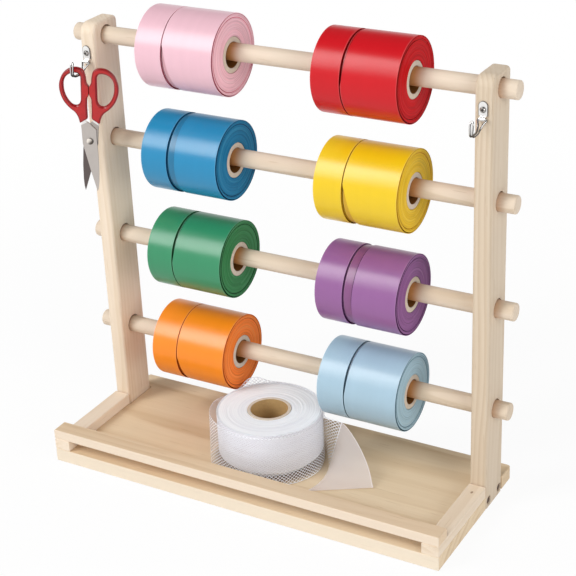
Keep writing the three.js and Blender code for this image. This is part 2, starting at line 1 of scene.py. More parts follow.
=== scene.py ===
# %% [markdown]
# # A ribbon storage rack
# The rack is a pine frame with four loose dowels. Satin ribbon rolls hang on the dowels, a pair of
# scissors hangs on a hook, and a roll of white mesh ribbon stands in the tray. The solids come from
# CAD and stay where they are. This notebook dresses them: boards keep their solid and get a finish,
# and round or soft things are made again as finer surfaces, each in the place of its solid.

# %% Load the frame
import json
from math import cos, pi, radians, sin, tau

import bmesh
import bpy
import numpy as np
from mathutils import Matrix, Vector
from mathutils.geometry import tessellate_polygon


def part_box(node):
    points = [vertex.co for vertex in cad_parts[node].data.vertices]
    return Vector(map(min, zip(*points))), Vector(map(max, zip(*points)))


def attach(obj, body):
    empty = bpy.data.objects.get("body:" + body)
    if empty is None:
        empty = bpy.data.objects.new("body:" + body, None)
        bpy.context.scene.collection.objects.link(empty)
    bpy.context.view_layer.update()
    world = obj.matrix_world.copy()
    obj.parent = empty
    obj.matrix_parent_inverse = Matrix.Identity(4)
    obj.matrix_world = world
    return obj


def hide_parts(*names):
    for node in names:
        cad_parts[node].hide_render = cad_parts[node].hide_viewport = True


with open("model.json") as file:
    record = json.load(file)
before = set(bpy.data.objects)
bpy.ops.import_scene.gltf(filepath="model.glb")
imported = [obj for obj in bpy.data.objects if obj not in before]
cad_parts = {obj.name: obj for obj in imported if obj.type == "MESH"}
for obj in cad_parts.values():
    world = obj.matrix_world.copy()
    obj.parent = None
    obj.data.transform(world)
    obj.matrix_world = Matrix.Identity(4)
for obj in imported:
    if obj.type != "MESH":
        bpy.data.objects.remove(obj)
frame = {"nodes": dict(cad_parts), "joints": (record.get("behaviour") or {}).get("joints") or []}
scene = bpy.context.scene
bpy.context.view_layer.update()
MM = 0.001


def new_object(name, data):
    """An object in the scene with the given mesh, lamp or camera."""
    made = bpy.data.objects.new(name, data)
    scene.collection.objects.link(made)
    return made


# %% [markdown]
# ## Camera
# The photograph was taken from the front right and from above, with a long lens. A new camera looks
# straight down. Three turns aim it: round the upright, from straight down to its elevation, and a
# small one round the way it looks.

# %% Camera
VIEW_AZIMUTH, VIEW_ELEVATION, VIEW_ROLL = (radians(a) for a in (30.54, 26.15, -2.59))
CAMERA_PLACE = (0.6412, -1.0562, 0.7955)
SENSOR_MM, LENS_MM = 36, 96.83
turns = ((VIEW_AZIMUTH, "Z"), (pi / 2 - VIEW_ELEVATION, "X"), (VIEW_ROLL, "Z"))

camera_data = bpy.data.cameras.new("camera")
camera_data.sensor_width = SENSOR_MM
camera_data.lens = LENS_MM
camera = new_object("camera", camera_data)
camera.matrix_world = Matrix.Translation(CAMERA_PLACE)
for angle, axis in turns:
    camera.matrix_world = camera.matrix_world @ Matrix.Rotation(angle, 4, axis)
scene.camera = camera
scene.view_settings.view_transform = "Standard"
print("camera looks along", [round(-v, 3) for v in camera.matrix_world.col[2][:3]])

# %% [markdown]
# ## Shader maths
# A procedural finish is arithmetic on coordinates. Written as nodes it is long and hard to read, so
# one small class wraps a socket and turns plus, minus and times into Math nodes. A colour goes
# through a Mix node instead, because a Math node would turn it grey.

# %% A class for values and one for finishes
def operation(name, swapped=False):
    """A method that adds a Math node for its value and the others, swapped or in that order."""
    def apply(self, *others):
        terms = (*others, self) if swapped else (self, *others)
        return self.finish.value("Math", dict(enumerate(terms)), operation=name)
    return apply


class Value:
    """A number that changes over a surface. Arithmetic on it adds Math nodes to its finish."""

    __add__ = __radd__ = operation("ADD")
    __sub__, __rsub__ = operation("SUBTRACT"), operation("SUBTRACT", swapped=True)
    __mul__ = __rmul__ = operation("MULTIPLY")
    __truediv__, __pow__ = operation("DIVIDE"), operation("POWER")
    fraction, size = operation("FRACT"), operation("ABSOLUTE")
    most, least = operation("MAXIMUM"), operation("MINIMUM")

    def __init__(self, finish, socket):
        self.finish, self.socket = finish, socket

    def rise(self, low, high):
        """0 below low, 1 above high and a smooth S between them. Low may be the larger one."""
        sockets = {"Value": self, "From Min": low, "From Max": high}
        return self.finish.value("MapRange", sockets, interpolation_type="SMOOTHSTEP")


class Finish:
    """A material under construction, or the nodes of a given tree.

    Its place, which the noise reads, is three object coordinates in metres, or with "surface" the
    two values of the piece's own UV map.
    """

    def __init__(self, name, kind="Object", tree=None):
        if tree is None:
            self.material = bpy.data.materials.new(name)
            self.material.use_nodes = True
            tree = self.material.node_tree
        self.tree = tree
        self.tree.nodes.clear()
        if kind == "surface":
            self.place = self.split(self.node("UVMap", uv_map="surface").outputs[0])[:2]
        else:
            self.place = self.split(self.node("TexCoord").outputs[kind])

    def node(self, kind, sockets=None, **settings):
        """Adds a node: its settings first, then a value or a link for each socket."""
        made = self.tree.nodes.new("ShaderNode" + kind)
        for key, value in settings.items():
            setattr(made, key, value)
        for key, value in (sockets or {}).items():
            source = value.socket if isinstance(value, Value) else value
            if isinstance(source, bpy.types.NodeSocket):
                self.tree.links.new(source, made.inputs[key])
            else:
                made.inputs[key].default_value = source
        return made

    def value(self, kind, sockets=None, output=0, **settings):
        """Adds a node and gives one of its outputs as a value."""
        return Value(self, self.node(kind, sockets, **settings).outputs[output])

    def rays(self, kind):
        """1 for the rays of a kind, such as Camera, and 0 for the others."""
        return self.value("LightPath", output=f"Is {kind} Ray")

    def split(self, vector):
        return [Value(self, part) for part in self.node("SeparateXYZ", {0: vector}).outputs]

    def noise(self, scales, seed, detail=2.0, rough=0.5):
        """Noise at the place. scales is one number, or one for each value of the place."""
        scales = scales if isinstance(scales, tuple) else (scales,) * len(self.place)
        scaled = dict(enumerate(value * scale for value, scale in zip(self.place, scales)))
        vector = self.node("CombineXYZ", scaled).outputs[0]
        sockets = {"Vector": vector, "W": seed, "Scale": 1.0, "Detail": detail, "Roughness": rough}
        return self.value("TexNoise", sockets, noise_dimensions="4D")

    def coat(self, share, tone, ground=None):
        """Lays a tone over the colour so far, or over a ground: none at share 0 and all at 1."""
        sockets = {0: share, 6: ground or self.colour, 7: tone}
        self.colour = self.node("Mix", sockets, data_type="RGBA").outputs[2]

    def shade(self, roughness, relief=None, specular=0.5, **sockets):
        """Ends the finish in a Principled shader. relief is (height, distance, strength). The
        names of other sockets are written with underscores."""
        sockets = {key.replace("_", " "): value for key, value in sockets.items()}
        sockets |= {"Base Color": self.colour, "Roughness": roughness}
        sockets["Specular IOR Level"] = specular
        if relief:
            bumps = dict(zip(("Height", "Distance", "Strength"), relief))
            sockets["Normal"] = self.node("Bump", bumps).outputs[0]
        shader = self.node("BsdfPrincipled", sockets)
        self.node("OutputMaterial", {0: shader.outputs[0]})
        return self.material

    def end_seen(self, seen, lighting, shown, output):
        """Ends the nodes in one shader that lights the rack and one for rays that see it."""
        sockets = {0: seen, 1: lighting.outputs[0], 2: shown.outputs[0]}
        self.node(output, {0: self.node("MixShader", sockets).outputs[0]})


def paint(red, green, blue):
    """A colour from its 0 to 255 values on a screen, as the linear light that a shader needs."""
    screen = np.array([red, green, blue]) / 255
    linear = np.where(screen <= 0.04045, screen / 12.92, ((screen + 0.055) / 1.055) ** 2.4)
    return (*linear.tolist(), 1.0)


def toned(tint, share=1.0, lift=0.0, power=0):
    """A tint times share, and lifted towards white. With a power, dim channels rise less."""
    return (*(v * share + lift * (1 - v) * v ** power for v in tint[:3]), 1.0)


# %% [markdown]
# ## Studio
# The picture is a cut-out on white with one broad soft lamp at the front left, which draws the pale
# band on every ribbon roll. The world fills the shadows. It shows white to the camera and to
# reflections only, so that the white background adds no light to the rack. In reflections its upper
# part is a dim ceiling, which keeps the rolls' tops deep in colour and draws the metal.

# %% Lamps, world and floor
def soft_lamp(name, place, width, height, watts):
    """A broad lamp that points at the rack's middle."""
    data = bpy.data.lights.new(name, "AREA")
    data.shape = "RECTANGLE"
    data.size, data.size_y, data.energy = width, height, watts
    lamp = new_object(name, data)
    lamp.location = place
    towards = Vector(RACK_MIDDLE) - Vector(place)
    lamp.rotation_euler = towards.to_track_quat("-Z", "Y").to_euler()


RACK_MIDDLE = (0, 0.04, 0.2)
soft_lamp("window_lamp", (-1.92, -2.36, 2.65), 1.25, 2.7, 100)
soft_lamp("right_lamp", (3.4, -1.5, 1.6), 2.2, 2.2, 62)

WHITE, PAPER = (1, 1, 1, 1), (0.9, 0.9, 0.9, 1)
FILL_STRENGTH, CEILING_SHADE = 0.42, 0.88
world = bpy.data.worlds.new("studio")
world.use_nodes = True
sky = Finish("studio", "Generated", world.node_tree)
mirrored = sky.rays("Glossy")
seen = sky.rays("Camera").most(mirrored).most(sky.rays("Transmission"))
ceiling = sky.place[2].rise(0.12, 0.5) * mirrored * CEILING_SHADE
fill, white = (sky.node("Background", {"Color": WHITE, "Strength": strength})
               for strength in (FILL_STRENGTH, 1 - ceiling))
sky.end_seen(seen, fill, white, "OutputWorld")
scene.world = world

FLOOR_HALF, FLOOR_GLOW = 6.0, 0.93
GLOW_FADES = (0.3, 1.1)
corners = [(x * FLOOR_HALF, y * FLOOR_HALF, 0) for x, y in ((-1, -1), (1, -1), (1, 1), (-1, 1))]
floor_mesh = bpy.data.meshes.new("floor")
floor_mesh.from_pydata(corners, [], [(0, 1, 2, 3)])
floor = new_object("floor", floor_mesh)
paper = Finish("white_paper")
x, y, _ = paper.place
away = ((x * x + y * y) ** 0.5).rise(*GLOW_FADES)
seen = paper.rays("Camera").most(paper.rays("Glossy")) * (away * (1 - FLOOR_GLOW) + FLOOR_GLOW)
matt = paper.node("BsdfDiffuse", {"Color": PAPER})
glow = paper.node("Emission", {"Color": WHITE, "Strength": 1.0})
paper.end_seen(seen, matt, glow, "OutputMaterial")
floor_mesh.materials.append(paper.material)

# %% [markdown]
# ## Pine
# A board is cut from a trunk, so its grain is one solid pattern: rings round the tree's heart that
# run along the board. A solid texture gives the long lines on the faces and the arcs on the ends at
# once, which a flat picture can't. Each ring goes from pale to tan and drops back. Noise stretched
# along the grain bends the rings, and finer noise draws the fibres.

# %% Pine finish
AXES = {"X": (0, 1, 2), "Y": (1, 2, 0), "Z": (2, 0, 1)}
PINE_TONES = ((238, 222, 203), (220, 198, 168), (194, 164, 127))
# Knots are the wood's own brown. The other two browns paint shade and the shadow under a roll.
KNOT_BROWN, SHADE_BROWN, ROLL_SHADOW_BROWN = paint(128, 92, 60), paint(170, 104, 30), paint(104, 76, 58)


def pine(name, grain, heart, seed, pitch, contrast, tones=PINE_TONES, knots=(), paler=None,
         darker=(), roll_shadow=None):
    """Solid pine. grain is the axis along the board, heart the tree's middle in the other axes.

    paler is (axis, place, reach, tone) of a face painted paler, as painted light where the lamp
    falls full on it. darker lists spans (start, full, end, share) along the board that are painted
    brown as shade, none at start and end and most at full. roll_shadow is (x, y, inner, outer) of a
    round painted shadow under a roll that stands on the board.
    """
    finish = Finish(name)
    place = finish.place
    along, a, b = finish.place = [place[i] for i in AXES[grain]]
    pale, tan, brown = (paint(*tone) for tone in tones)

    bend = finish.noise((3, 14, 14), seed)
    radius = ((a - heart[0]) ** 2 + (b - heart[1]) ** 2) ** 0.5 + (bend - 0.5) * 0.026
    ring = (radius / pitch).fraction()
    late = ring.rise(0.15, 0.85) * ring.rise(1.0, 0.88)
    uneven = finish.noise((2, 40, 40), seed + 3)
    broad = finish.noise((1.4, 11, 11), seed + 7, 1.0).rise(0.36, 0.66)
    fibre = finish.noise((22, 900, 900), seed + 11, 3.0, 0.6)
    streak = finish.noise((7, 240, 240), seed + 15, 2.0, 0.6)
    dash = finish.noise((34, 620, 620), seed + 19, 1.0).rise(0.66, 0.74)

    line = late * uneven.rise(0.3, 0.7) * (0.6 * contrast)
    tanned = broad * (0.36 * contrast) + (fibre - 0.5) * 0.4 + (streak - 0.45) * 0.55
    finish.coat(tanned, tan, pale)
    finish.coat(line * 0.8, tan)
    finish.coat(line ** 2.2 * 0.6 + dash * 0.3, brown)
    for knot_along, knot_a, knot_b, size in knots:
        away = ((along - knot_along) ** 2 * 0.35 + (a - knot_a) ** 2 + (b - knot_b) ** 2) ** 0.5
        finish.coat(away.rise(size, 0.35 * size) * 0.8, KNOT_BROWN)
    # Painted light: a face that looks towards the lamp is painted paler.
    if paler:
        axis, edge, reach, tone = paler
        finish.coat(place[axis].rise(edge + reach, edge) * 0.7, paint(*tone))
    # Painted shade: spans along the board are painted brown.
    for start, full, end, share in darker:
        inside = along.rise(start, full) * along.rise(end, full)
        finish.coat(inside * share, SHADE_BROWN)
    # Painted shadow: a round brown patch on the board under the roll that stands on it.
    if roll_shadow:
        x, y, inner, outer = roll_shadow
        from_middle = ((place[0] - x) ** 2 + (place[1] - y) ** 2) ** 0.5
        finish.coat(from_middle.rise(outer, inner) * 0.85, ROLL_SHADOW_BROWN)
    height = fibre * 0.8 + late * 0.2 + streak * 0.4
    roughness = 0.56 + (fibre - 0.5) * 0.25 + late * 0.05
    return finish.shade(roughness, (height, 0.00012, 0.6), specular=0.35)


def give(node, material):
    """Puts a finish on a CAD node."""
    slots = frame["nodes"][node].data.materials
    slots.clear()
    slots.append(material)


TRAY_KNOT = (-0.071, 0.012, 0.0135, 0.0024)
RAIL_KNOT = (0.008, 0.0245, 0.192, 0.0015)
POST_KNOT = (0.215, 0.189, 0.024, 0.0013)
board_tones = ((232, 211, 180), (214, 186, 148), (182, 148, 106))
strip_tones = ((226, 202, 172), (210, 182, 146), (184, 152, 114))
post_tones = ((216, 199, 177), (200, 178, 150), (176, 148, 114))
front_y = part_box("base_board")[0].y
strip_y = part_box("front_strip")[0].y
joint_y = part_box("side_rail_right")[1].y
# Painted light: the front faces of the tray and the strip are painted paler.
board_front_lit = (1, front_y + 0.0001, 0.0007, (234, 223, 206))
strip_front_lit = (1, strip_y + 0.0001, 0.0007, (236, 221, 203))
# Painted shade: a thin brown line at the end of each rail, where it meets an upright.
joint_shade = [(joint_y - 0.0009, joint_y - 0.0002, joint_y + 0.001, 0.75)]
# Painted shadow: the tray's floor is browner in a round patch under the mesh roll.
give("base_board",
     pine("pine_tray", "X", (0.03, -0.09), 2.0, 0.0090, 1.15, board_tones, [TRAY_KNOT], board_front_lit,
          roll_shadow=(-0.0085, 0.001, 0.046, 0.058)))
give("front_strip",
     pine("pine_strip", "X", (-0.10, 0.075), 8.5, 0.006, 1.0, strip_tones, paler=strip_front_lit))
give("side_rail_left",
     pine("pine_rail_left", "Y", (-0.05, -0.16), 5.2, 0.005, 1.0, darker=joint_shade))
give("side_rail_right",
     pine("pine_rail_right", "Y", (-0.06, 0.15), 6.1, 0.005, 1.0, knots=[RAIL_KNOT], darker=joint_shade))
give("upright_left", pine("pine_post_left", "Z", (-0.15, 0.09), 3.3, 0.0045, 0.9))
give("upright_right",
     pine("pine_post_right", "Z", (0.25, 0.07), 4.4, 0.0040, 0.9, post_tones, knots=[POST_KNOT]))
print("boards finished")

# %% [markdown]
# ## Surfaces from arrays
# Most other things are a profile carried along a path, or turned round an axis. Both are a grid of
# points: rows along one way, columns along the other. One helper makes the faces of such a grid,
# another puts points and faces into a mesh, with a UV map measured along the surface.

# %% Mesh helpers
def grid(points, uv, kind=0):
    """A part from a grid of points (rows, columns, 3): points, UV, four-cornered faces, finish."""
    rows, columns = points.shape[:2]
    corner = np.arange(rows - 1)[:, None] * columns + np.arange(columns - 1)[None, :]
    faces = np.stack([corner, corner + 1, corner + columns + 1, corner + columns], -1)
    return points.reshape(-1, 3), uv.reshape(-1, 2), faces.reshape(-1, 4), kind


def new_piece(name, parts, materials, body, replaces, slot, angle=40, closed=True):
    """One mesh from several parts. Doubled points merge, faces of a closed shape turn outwards, all
    but sharp edges are smooth, and the piece rides on its body in place of the solids it replaces.
    """
    points = np.concatenate([part[0] for part in parts])
    places = np.concatenate([part[1] for part in parts])
    starts = np.cumsum([0] + [len(part[0]) for part in parts])
    faces = [part[2] + start for part, start in zip(parts, starts)]
    kinds = np.concatenate([np.full(len(part[2]), part[3]) for part in parts])

    mesh = bpy.data.meshes.new(name)
    mesh.from_pydata(points.tolist(), [], [face for part in faces for face in part.tolist()])
    mesh.polygons.foreach_set("material_index", kinds.astype(np.int32))
    layer = mesh.uv_layers.new(name="surface")
    corners = np.concatenate([part.ravel() for part in faces])
    layer.data.foreach_set("uv", places[corners].astype(np.float32).ravel())
    for material in materials:
        mesh.materials.append(material)

    shape = bmesh.new()
    shape.from_mesh(mesh)
    bmesh.ops.remove_doubles(shape, verts=shape.verts, dist=1e-6)
    bmesh.ops.dissolve_degenerate(shape, dist=1e-7, edges=shape.edges)
    if closed:
        bmesh.ops.recalc_face_normals(shape, faces=shape.faces)
    shape.to_mesh(mesh)
    shape.free()
    mesh.shade_smooth()
    mesh.set_sharp_from_angle(angle=radians(angle))
    piece = new_object(name, mesh)
    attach(piece, body)
    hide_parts(*replaces)
    return piece


def run_along(line):
    """How far along a line each of its points lies."""
    return np.concatenate([[0], np.cumsum(np.linalg.norm(np.diff(line, axis=0), axis=1))])


def turned(profile, place, sides=64, kind=0):
    """A profile of (radius, height) pairs turned round an axis. place maps radius, angle, height.

    The UV runs along the profile and round the largest radius, both in metres.
    """
    profile = np.array(profile, float)
    rows = np.column_stack([profile, run_along(profile)])
    r, h, run = np.repeat(rows[..., None], sides + 1, 2).swapaxes(0, 1)
    t = np.broadcast_to(np.linspace(0, tau, sides + 1), r.shape)
    return grid(place(r, t, h), np.stack([run, t * r.max()], -1), kind)


def round_x(y, z):
    """Places a turned shape round an axis along X. Angle 0 points down, 90 degrees to the back."""
    return lambda r, t, h: np.stack([h + 0 * r, y + r * np.sin(t), z - r * np.cos(t)], -1)


def round_z(x, y):
    """Places a turned shape round an upright axis. Angle 0 points to the right."""
    return lambda r, t, h: np.stack([x + r * np.cos(t), y + r * np.sin(t), h + 0 * r], -1)


def rounded(radius, low, high, edge):
    """The profile of a rod from height low to high, closed on its axis, with rounded edges."""
    turn = [(edge * sin(a), edge * cos(a)) for a in np.linspace(0, pi / 2, 4)]
    lower = [(radius - edge + s, low + edge - c) for s, c in turn]
    upper = [(radius - edge + c, high - edge + s) for s, c in turn]
    return [(0, low), *lower, *upper, (0, high)]


# %% [markdown]
# ## Dowels
# The rods are turned pine, creamier than the boards and sanded smooth, and painted browner as shade
# where they pass through a roll or a hole. Their ends have a narrow rounded chamfer that catches
# the light. A turned profile gives that with few points, so a smooth rod stands in place of each
# CAD dowel.

# %% Dowels
DOWEL_EDGE = 0.0013
dowel_tones = ((226, 209, 189), (210, 190, 164), (184, 158, 124))
left_post, right_post = (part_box(f"upright_{side}")[1].x for side in ("left", "right"))
# Each ribbon's colour on its broad side, on its edges and in shade, in the order of the dowels.
RIBBON_COLOURS = {
    "pink": ((236, 191, 203), (248, 194, 206), (222, 112, 134)),
    "red": ((206, 12, 26), (200, 8, 18), (146, 22, 14)),
    "blue": ((24, 136, 184), (30, 120, 166), (14, 50, 92)),
    "yellow": ((240, 202, 20), (232, 190, 44), (206, 142, 18)),
    "green": ((50, 142, 98), (58, 130, 78), (20, 58, 36)),
    "purple": ((150, 96, 154), (142, 92, 146), (72, 32, 82)),
    "orange": ((252, 142, 24), (255, 132, 52), (196, 80, 14)),
    "pale_blue": ((170, 200, 218), (168, 200, 216), (96, 134, 158)),
}

for number in range(1, 5):
    low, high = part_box(f"dowel_{number}")
    middle = (low + high) / 2
    shape = rounded((high.y - low.y) / 2, low.x, high.x, DOWEL_EDGE)
    rod = turned(shape, round_x(middle.y, middle.z))
    # Painted shade: the rod is browner inside each roll's bore and where it passes the posts.
    shaded = []
    for colour in list(RIBBON_COLOURS)[2 * number - 2:2 * number]:
        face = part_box(f"core_{colour}_wide")[1].x
        shaded.append((face + 0.014, face + 0.001, face - 0.070, 0.9))
    shaded += [(left_post + 0.005, left_post - 0.001, left_post - 0.004, 0.5),
               (right_post + 0.010, right_post - 0.001, right_post - 0.004, 0.55)]
    wood = pine(f"pine_dowel_{number}", "X", (middle.y + 0.03, middle.z - 0.02), 9.0 + number,
                0.0045, 1.0, dowel_tones, darker=shaded)
    new_piece(f"dowel_{number}_turned", [rod], [wood], f"dowel_body_{number}",
              [f"dowel_{number}"], "dowel_wood")
print("dowels turned")

# %% [markdown]
# ## Ribbon rolls
# A roll is many turns of thin satin on a cardboard core. All but the last turns lie tight, so they
# are one drum whose faces show the ribbon's edges as fine uneven rings. The last two turns are
# looser: a strip that spirals outwards, with air under it, and that slips sideways a little. That
# gap and slip, with shade painted into the gap, the groove and the turn beneath, draw the dark
# lines that make a roll look wound and not moulded.

# %% Winding shape
TURN_STEPS = 96
SHADE_REACH = 0.0012
CORE_GAP, DRUM_GAP, FACE_GAP = 0.0003, 0.0001, 0.0002
RING_COUNT = 17
GROOVE_RING = 30
GROOVE_STEPS = np.array([-0.1, 0, 0.45, 0.55]) * MM
OPEN_ANGLE = radians(268)
RING_WAVE, STRIP_WAVE, EDGE_WAVE = (0.00003, 0.00028), 0.00010, 0.00015


def open_front(angle):
    """How far the loose turns stand off at an angle: 1 at the roll's front, 0 at its back."""
    return np.clip(np.cos(angle - OPEN_ANGLE) + 0.25, 0, 1)


def drum(bore, radius, left, right, seed, groove):
    """The tight turns: a closed ring of rows from the bore over one face, outside and other face.

    Each ring of a face stands in or out by its own small amount, which changes slowly on its way
    round. One ring is a groove at the front, where turns have come apart. The faces and the bore
    are finish 1. The groove and the outside, which lie in shade, are finish 2.
    """
    random = np.random.default_rng(seed)
    angle = np.linspace(0, tau, TURN_STEPS + 1)
    ring = np.linspace(bore, radius, RING_COUNT * 2)
    if groove:
        ring[GROOVE_RING - 1:GROOVE_RING + 3] = ring[GROOVE_RING] + GROOVE_STEPS
    face_r = np.repeat(ring[:, None], len(angle), 1)

    def face(height, inward):
        offset = random.uniform(*RING_WAVE, RING_COUNT).repeat(2)
        phase = random.uniform(0, 6.28, RING_COUNT).repeat(2)
        wave = offset[:, None] * (1 + 0.6 * np.sin(angle + phase[:, None]))
        wave[GROOVE_RING:GROOVE_RING + 2] += groove * open_front(angle)
        return height + inward * wave

    left_h, right_h = face(left, 1), face(right, -1)
    parts = [(face_r[[-1, -1]], np.stack([left_h[-1], right_h[-1]]), 2),
             (face_r[[0, 0]], np.stack([right_h[0], left_h[0]]), 1)]
    cuts = (0, GROOVE_RING - 1, GROOVE_RING + 2, 2 * RING_COUNT - 1)
    for first, last, kind in zip(cuts, cuts[1:], (1, 2 if groove else 1, 1)):
        r, left_rows, right_rows = (rows[first:last + 1] for rows in (face_r, left_h, right_h))
        parts += [(r, left_rows, kind), (r[::-1], right_rows[::-1], kind)]
    return angle, parts


def loose_turns(outer, left, right, start, slip, seed, layers, gap):
    """The last turns: a strip from the drum's surface out to the roll's full radius.

    layers gives rows of (turn, depth under the full radius, thickness). The first turn is a few
    layers of ribbon that came loose together, the last one is thin, and a gap opens between them
    at the roll's front. On the last turn the left edge slips sideways as a hump of a given size,
    centre and half width. Rows run over the outside, the right edge, the underside and the left
    edge. The turn beneath shows only beside the slipped edge, and is in its shade there.
    """
    random = np.random.default_rng(seed)
    turn, depth, thickness = np.array(layers, float).T
    count = int(turn[-1])
    angle = start + np.linspace(0, tau * count, TURN_STEPS * count + 1)
    progress = np.linspace(0, count, len(angle))
    wave = STRIP_WAVE * (1 - np.sin(angle + random.uniform(0, 6.28)))
    wave *= np.sin(progress / count * pi)
    first = np.clip((1 - progress) / 0.05, 0, 1)
    beneath = first * gap * open_front(angle)
    r = outer - np.interp(progress, turn, depth) * MM - wave - beneath
    inside = r - np.interp(progress, turn, thickness) * MM + beneath * first
    size, centre, half = slip
    away = (angle - centre + pi) % tau - pi
    hump = size * np.clip(1 - (away / half) ** 2, 0, 1) ** 0.7
    last = progress - (count - 1)
    low = left + hump * np.clip(last / 0.08, 0, 1)
    high = right + EDGE_WAVE * np.sin(angle * 1.3 + 2)
    shade_edge = np.maximum(left + hump - SHADE_REACH, low + 0.0001)
    middle = np.where(last > 0, (low + high) / 2, shade_edge)
    section_r = np.stack([r, r, r, inside, inside, r])
    section_h = np.stack([low, middle, high, high, low, low])
    along = np.tile(angle * outer, (6, 1))
    flat_uv, edge_uv = (np.stack([across, along], -1) for across in (section_h - left, section_r))
    return angle, section_r, section_h, flat_uv, edge_uv


def wind(name, core, outer, left, right, place, start, slip, layers, gaps, seed, finishes, *ride):
    """A whole winding as one piece: the drum and its loose turns, round a core of a given radius.

    gaps is how far the last turn stands off at the front, and how deep the drum's groove is.
    The finishes are for the broad side, the edges, the painted shade of gaps and undersides, and
    the turn beneath, which is painted darker as shade.
    """
    radius = outer - (layers[0][1] + layers[0][2]) * MM - DRUM_GAP
    angle, rows = drum(core + CORE_GAP, radius, left + FACE_GAP, right - FACE_GAP, seed, gaps[1])
    parts = []
    for r, h, kind in rows:
        t = np.tile(angle, (len(r), 1))
        parts.append(grid(place(r, t, h), np.stack([r, t * r], -1), kind))

    angle, r, h, flat_uv, edge_uv = loose_turns(
        outer, left, right, start, slip, seed + 50, layers, gaps[0])
    strip = place(r, np.tile(angle, (6, 1)), h)
    cut = len(angle) - 1 - TURN_STEPS
    for steps, top in ((slice(0, cut + 1), (3, 2)), (slice(cut, None), (0, 0))):
        for row, kind in enumerate((*top, 1, 2, 1)):
            uv = edge_uv if kind in (1, 2) else flat_uv
            parts.append(grid(strip[row:row + 2, steps], uv[row:row + 2, steps], kind))
    for end in (0, -1):
        corners = strip[[0, 2, 4, 3], end].reshape(2, 2, 3)
        parts.append(grid(corners, np.zeros((2, 2, 2)), 2))
    new_piece(name, parts, finishes, *ride, angle=50)


# %% [markdown]
# Satin shines because long threads float over its face, all along the ribbon. The sheen is a broad
# soft highlight, so the shader is smooth enough to mirror the lamp as a band, and fine lines along
# the ribbon break the band up. The edges of the turns are seen end on. They are duller and deeper
# in colour, with a line for every turn.

# %% Satin finishes
SATIN_GLOSS, GLOSS = 0.5, {"red": 0.34}


def satin(name, tint, width, seed, gloss=SATIN_GLOSS):
    """Satin on a UV map in metres: across the ribbon first, along it second."""
    finish = Finish(name, "surface")
    across = finish.place[0]
    threads = finish.noise((2600, 30), seed)
    streaks = finish.noise((150, 7), seed + 4)
    cloud = finish.noise((26, 16), seed + 8)
    edge = (across - width / 2).size().rise(width / 2 - 0.0010, width / 2 - 0.0002)
    weave = streaks.rise(0.3, 0.75) * 0.25 + cloud * 0.35
    finish.coat(weave, tint, toned(tint, 0.9))
    finish.coat(edge * 0.5, toned(tint, lift=0.1))
    height = threads * 0.35 + streaks * 0.18 + cloud * 2.2
    roughness = 0.29 + (streaks - 0.5) * 0.06 + edge * 0.1
    return finish.shade(roughness, (height, 0.00014, 0.5), specular=gloss)


def turn_edges(name, tint, seed):
    """The ribbon's edges on a roll's face, on a UV map in metres: outwards first, round second."""
    finish = Finish(name, "surface")
    lines = finish.noise((1500, 9), seed, 2.0, 0.7)
    groups = finish.noise((420, 5), seed + 5, 1.0)
    finish.coat(lines.rise(0.56, 0.36) * 0.6, toned(tint, 0.45), tint)
    finish.coat(groups.rise(0.48, 0.72) * 0.6, toned(tint, lift=0.24, power=0.5))
    return finish.shade(0.6, (lines, 0.0002, 0.6), specular=0.12)


# %% [markdown]
# The cores are plain cardboard tubes: cream paper wound in a spiral, with soft fibres and a cut
# edge that shows its layers. Their inner walls are brown kraft board, painted darker still as
# shade in the bore.

# %% Cardboard tubes
CUT_EDGE = 0.0004


def cardboard(name, seed, tone=(221, 207, 190)):
    """Paper board in a tone, with patches of a greyer one."""
    finish = Finish(name)
    fibres = finish.noise(420, seed, 4.0, 0.7)
    patches = finish.noise(60, seed + 2)
    grey = paint(*(int(0.86 * v) for v in tone))
    finish.coat(fibres.rise(0.3, 0.7) * 0.4 + patches * 0.3, grey, paint(*tone))
    return finish.shade(0.85, (fibres, 0.0002, 0.5), specular=0.25)


def cardboard_tube(inner, outer, low, high, place, sides=48):
    """A tube's outside and rims as finish 0 and its inner wall as finish 1, rims softened."""
    shell = [
        (inner, low + CUT_EDGE), (inner + CUT_EDGE, low),
        (outer - CUT_EDGE, low), (outer, low + CUT_EDGE),
        (outer, high - CUT_EDGE), (outer - CUT_EDGE, high),
        (inner + CUT_EDGE, high), (inner, high - CUT_EDGE),
    ]
    return [turned(shell, place, sides), turned([shell[-1], shell[0]], place, sides, 1)]


cream_board = cardboard("cardboard_cream", 1.0)
# Painted shade: the brown board for the bores is kraft board painted darker for the shade inside.
brown_board = cardboard("cardboard_brown", 2.0, (150, 100, 44))
START_ANGLE = {"narrow": radians(20), "wide": radians(65)}
SLIPS = {
    "pink": (0.006, 325, 75), "red": (0.0025, 200, 70), "blue": (0.0075, 270, 130),
    "yellow": (0.007, 330, 75), "green": (0.0025, 195, 70), "purple": (0.009, 225, 150),
    "orange": (0.0035, 335, 65), "pale_blue": (0.002, 195, 70),
}
NO_SLIP = (0.0, 0, 90)
CORE_BORE_SHARE = 23 / 32
RIBBON_LAYERS = [(0, 1.25, 1.55), (0.95, 0.68, 2.12), (1, 0.65, 0.5), (1.12, 0.4, 0.5), (2, 0, 0.5)]
RIBBON_GAPS = (0.0010, 0.0022)
SEAM_HALF = 0.0003
# Painted shade: the turn beneath is painted darker by these shares.
UNDER_SHADE_SHARES = (0.86, 0.74, 0.74)

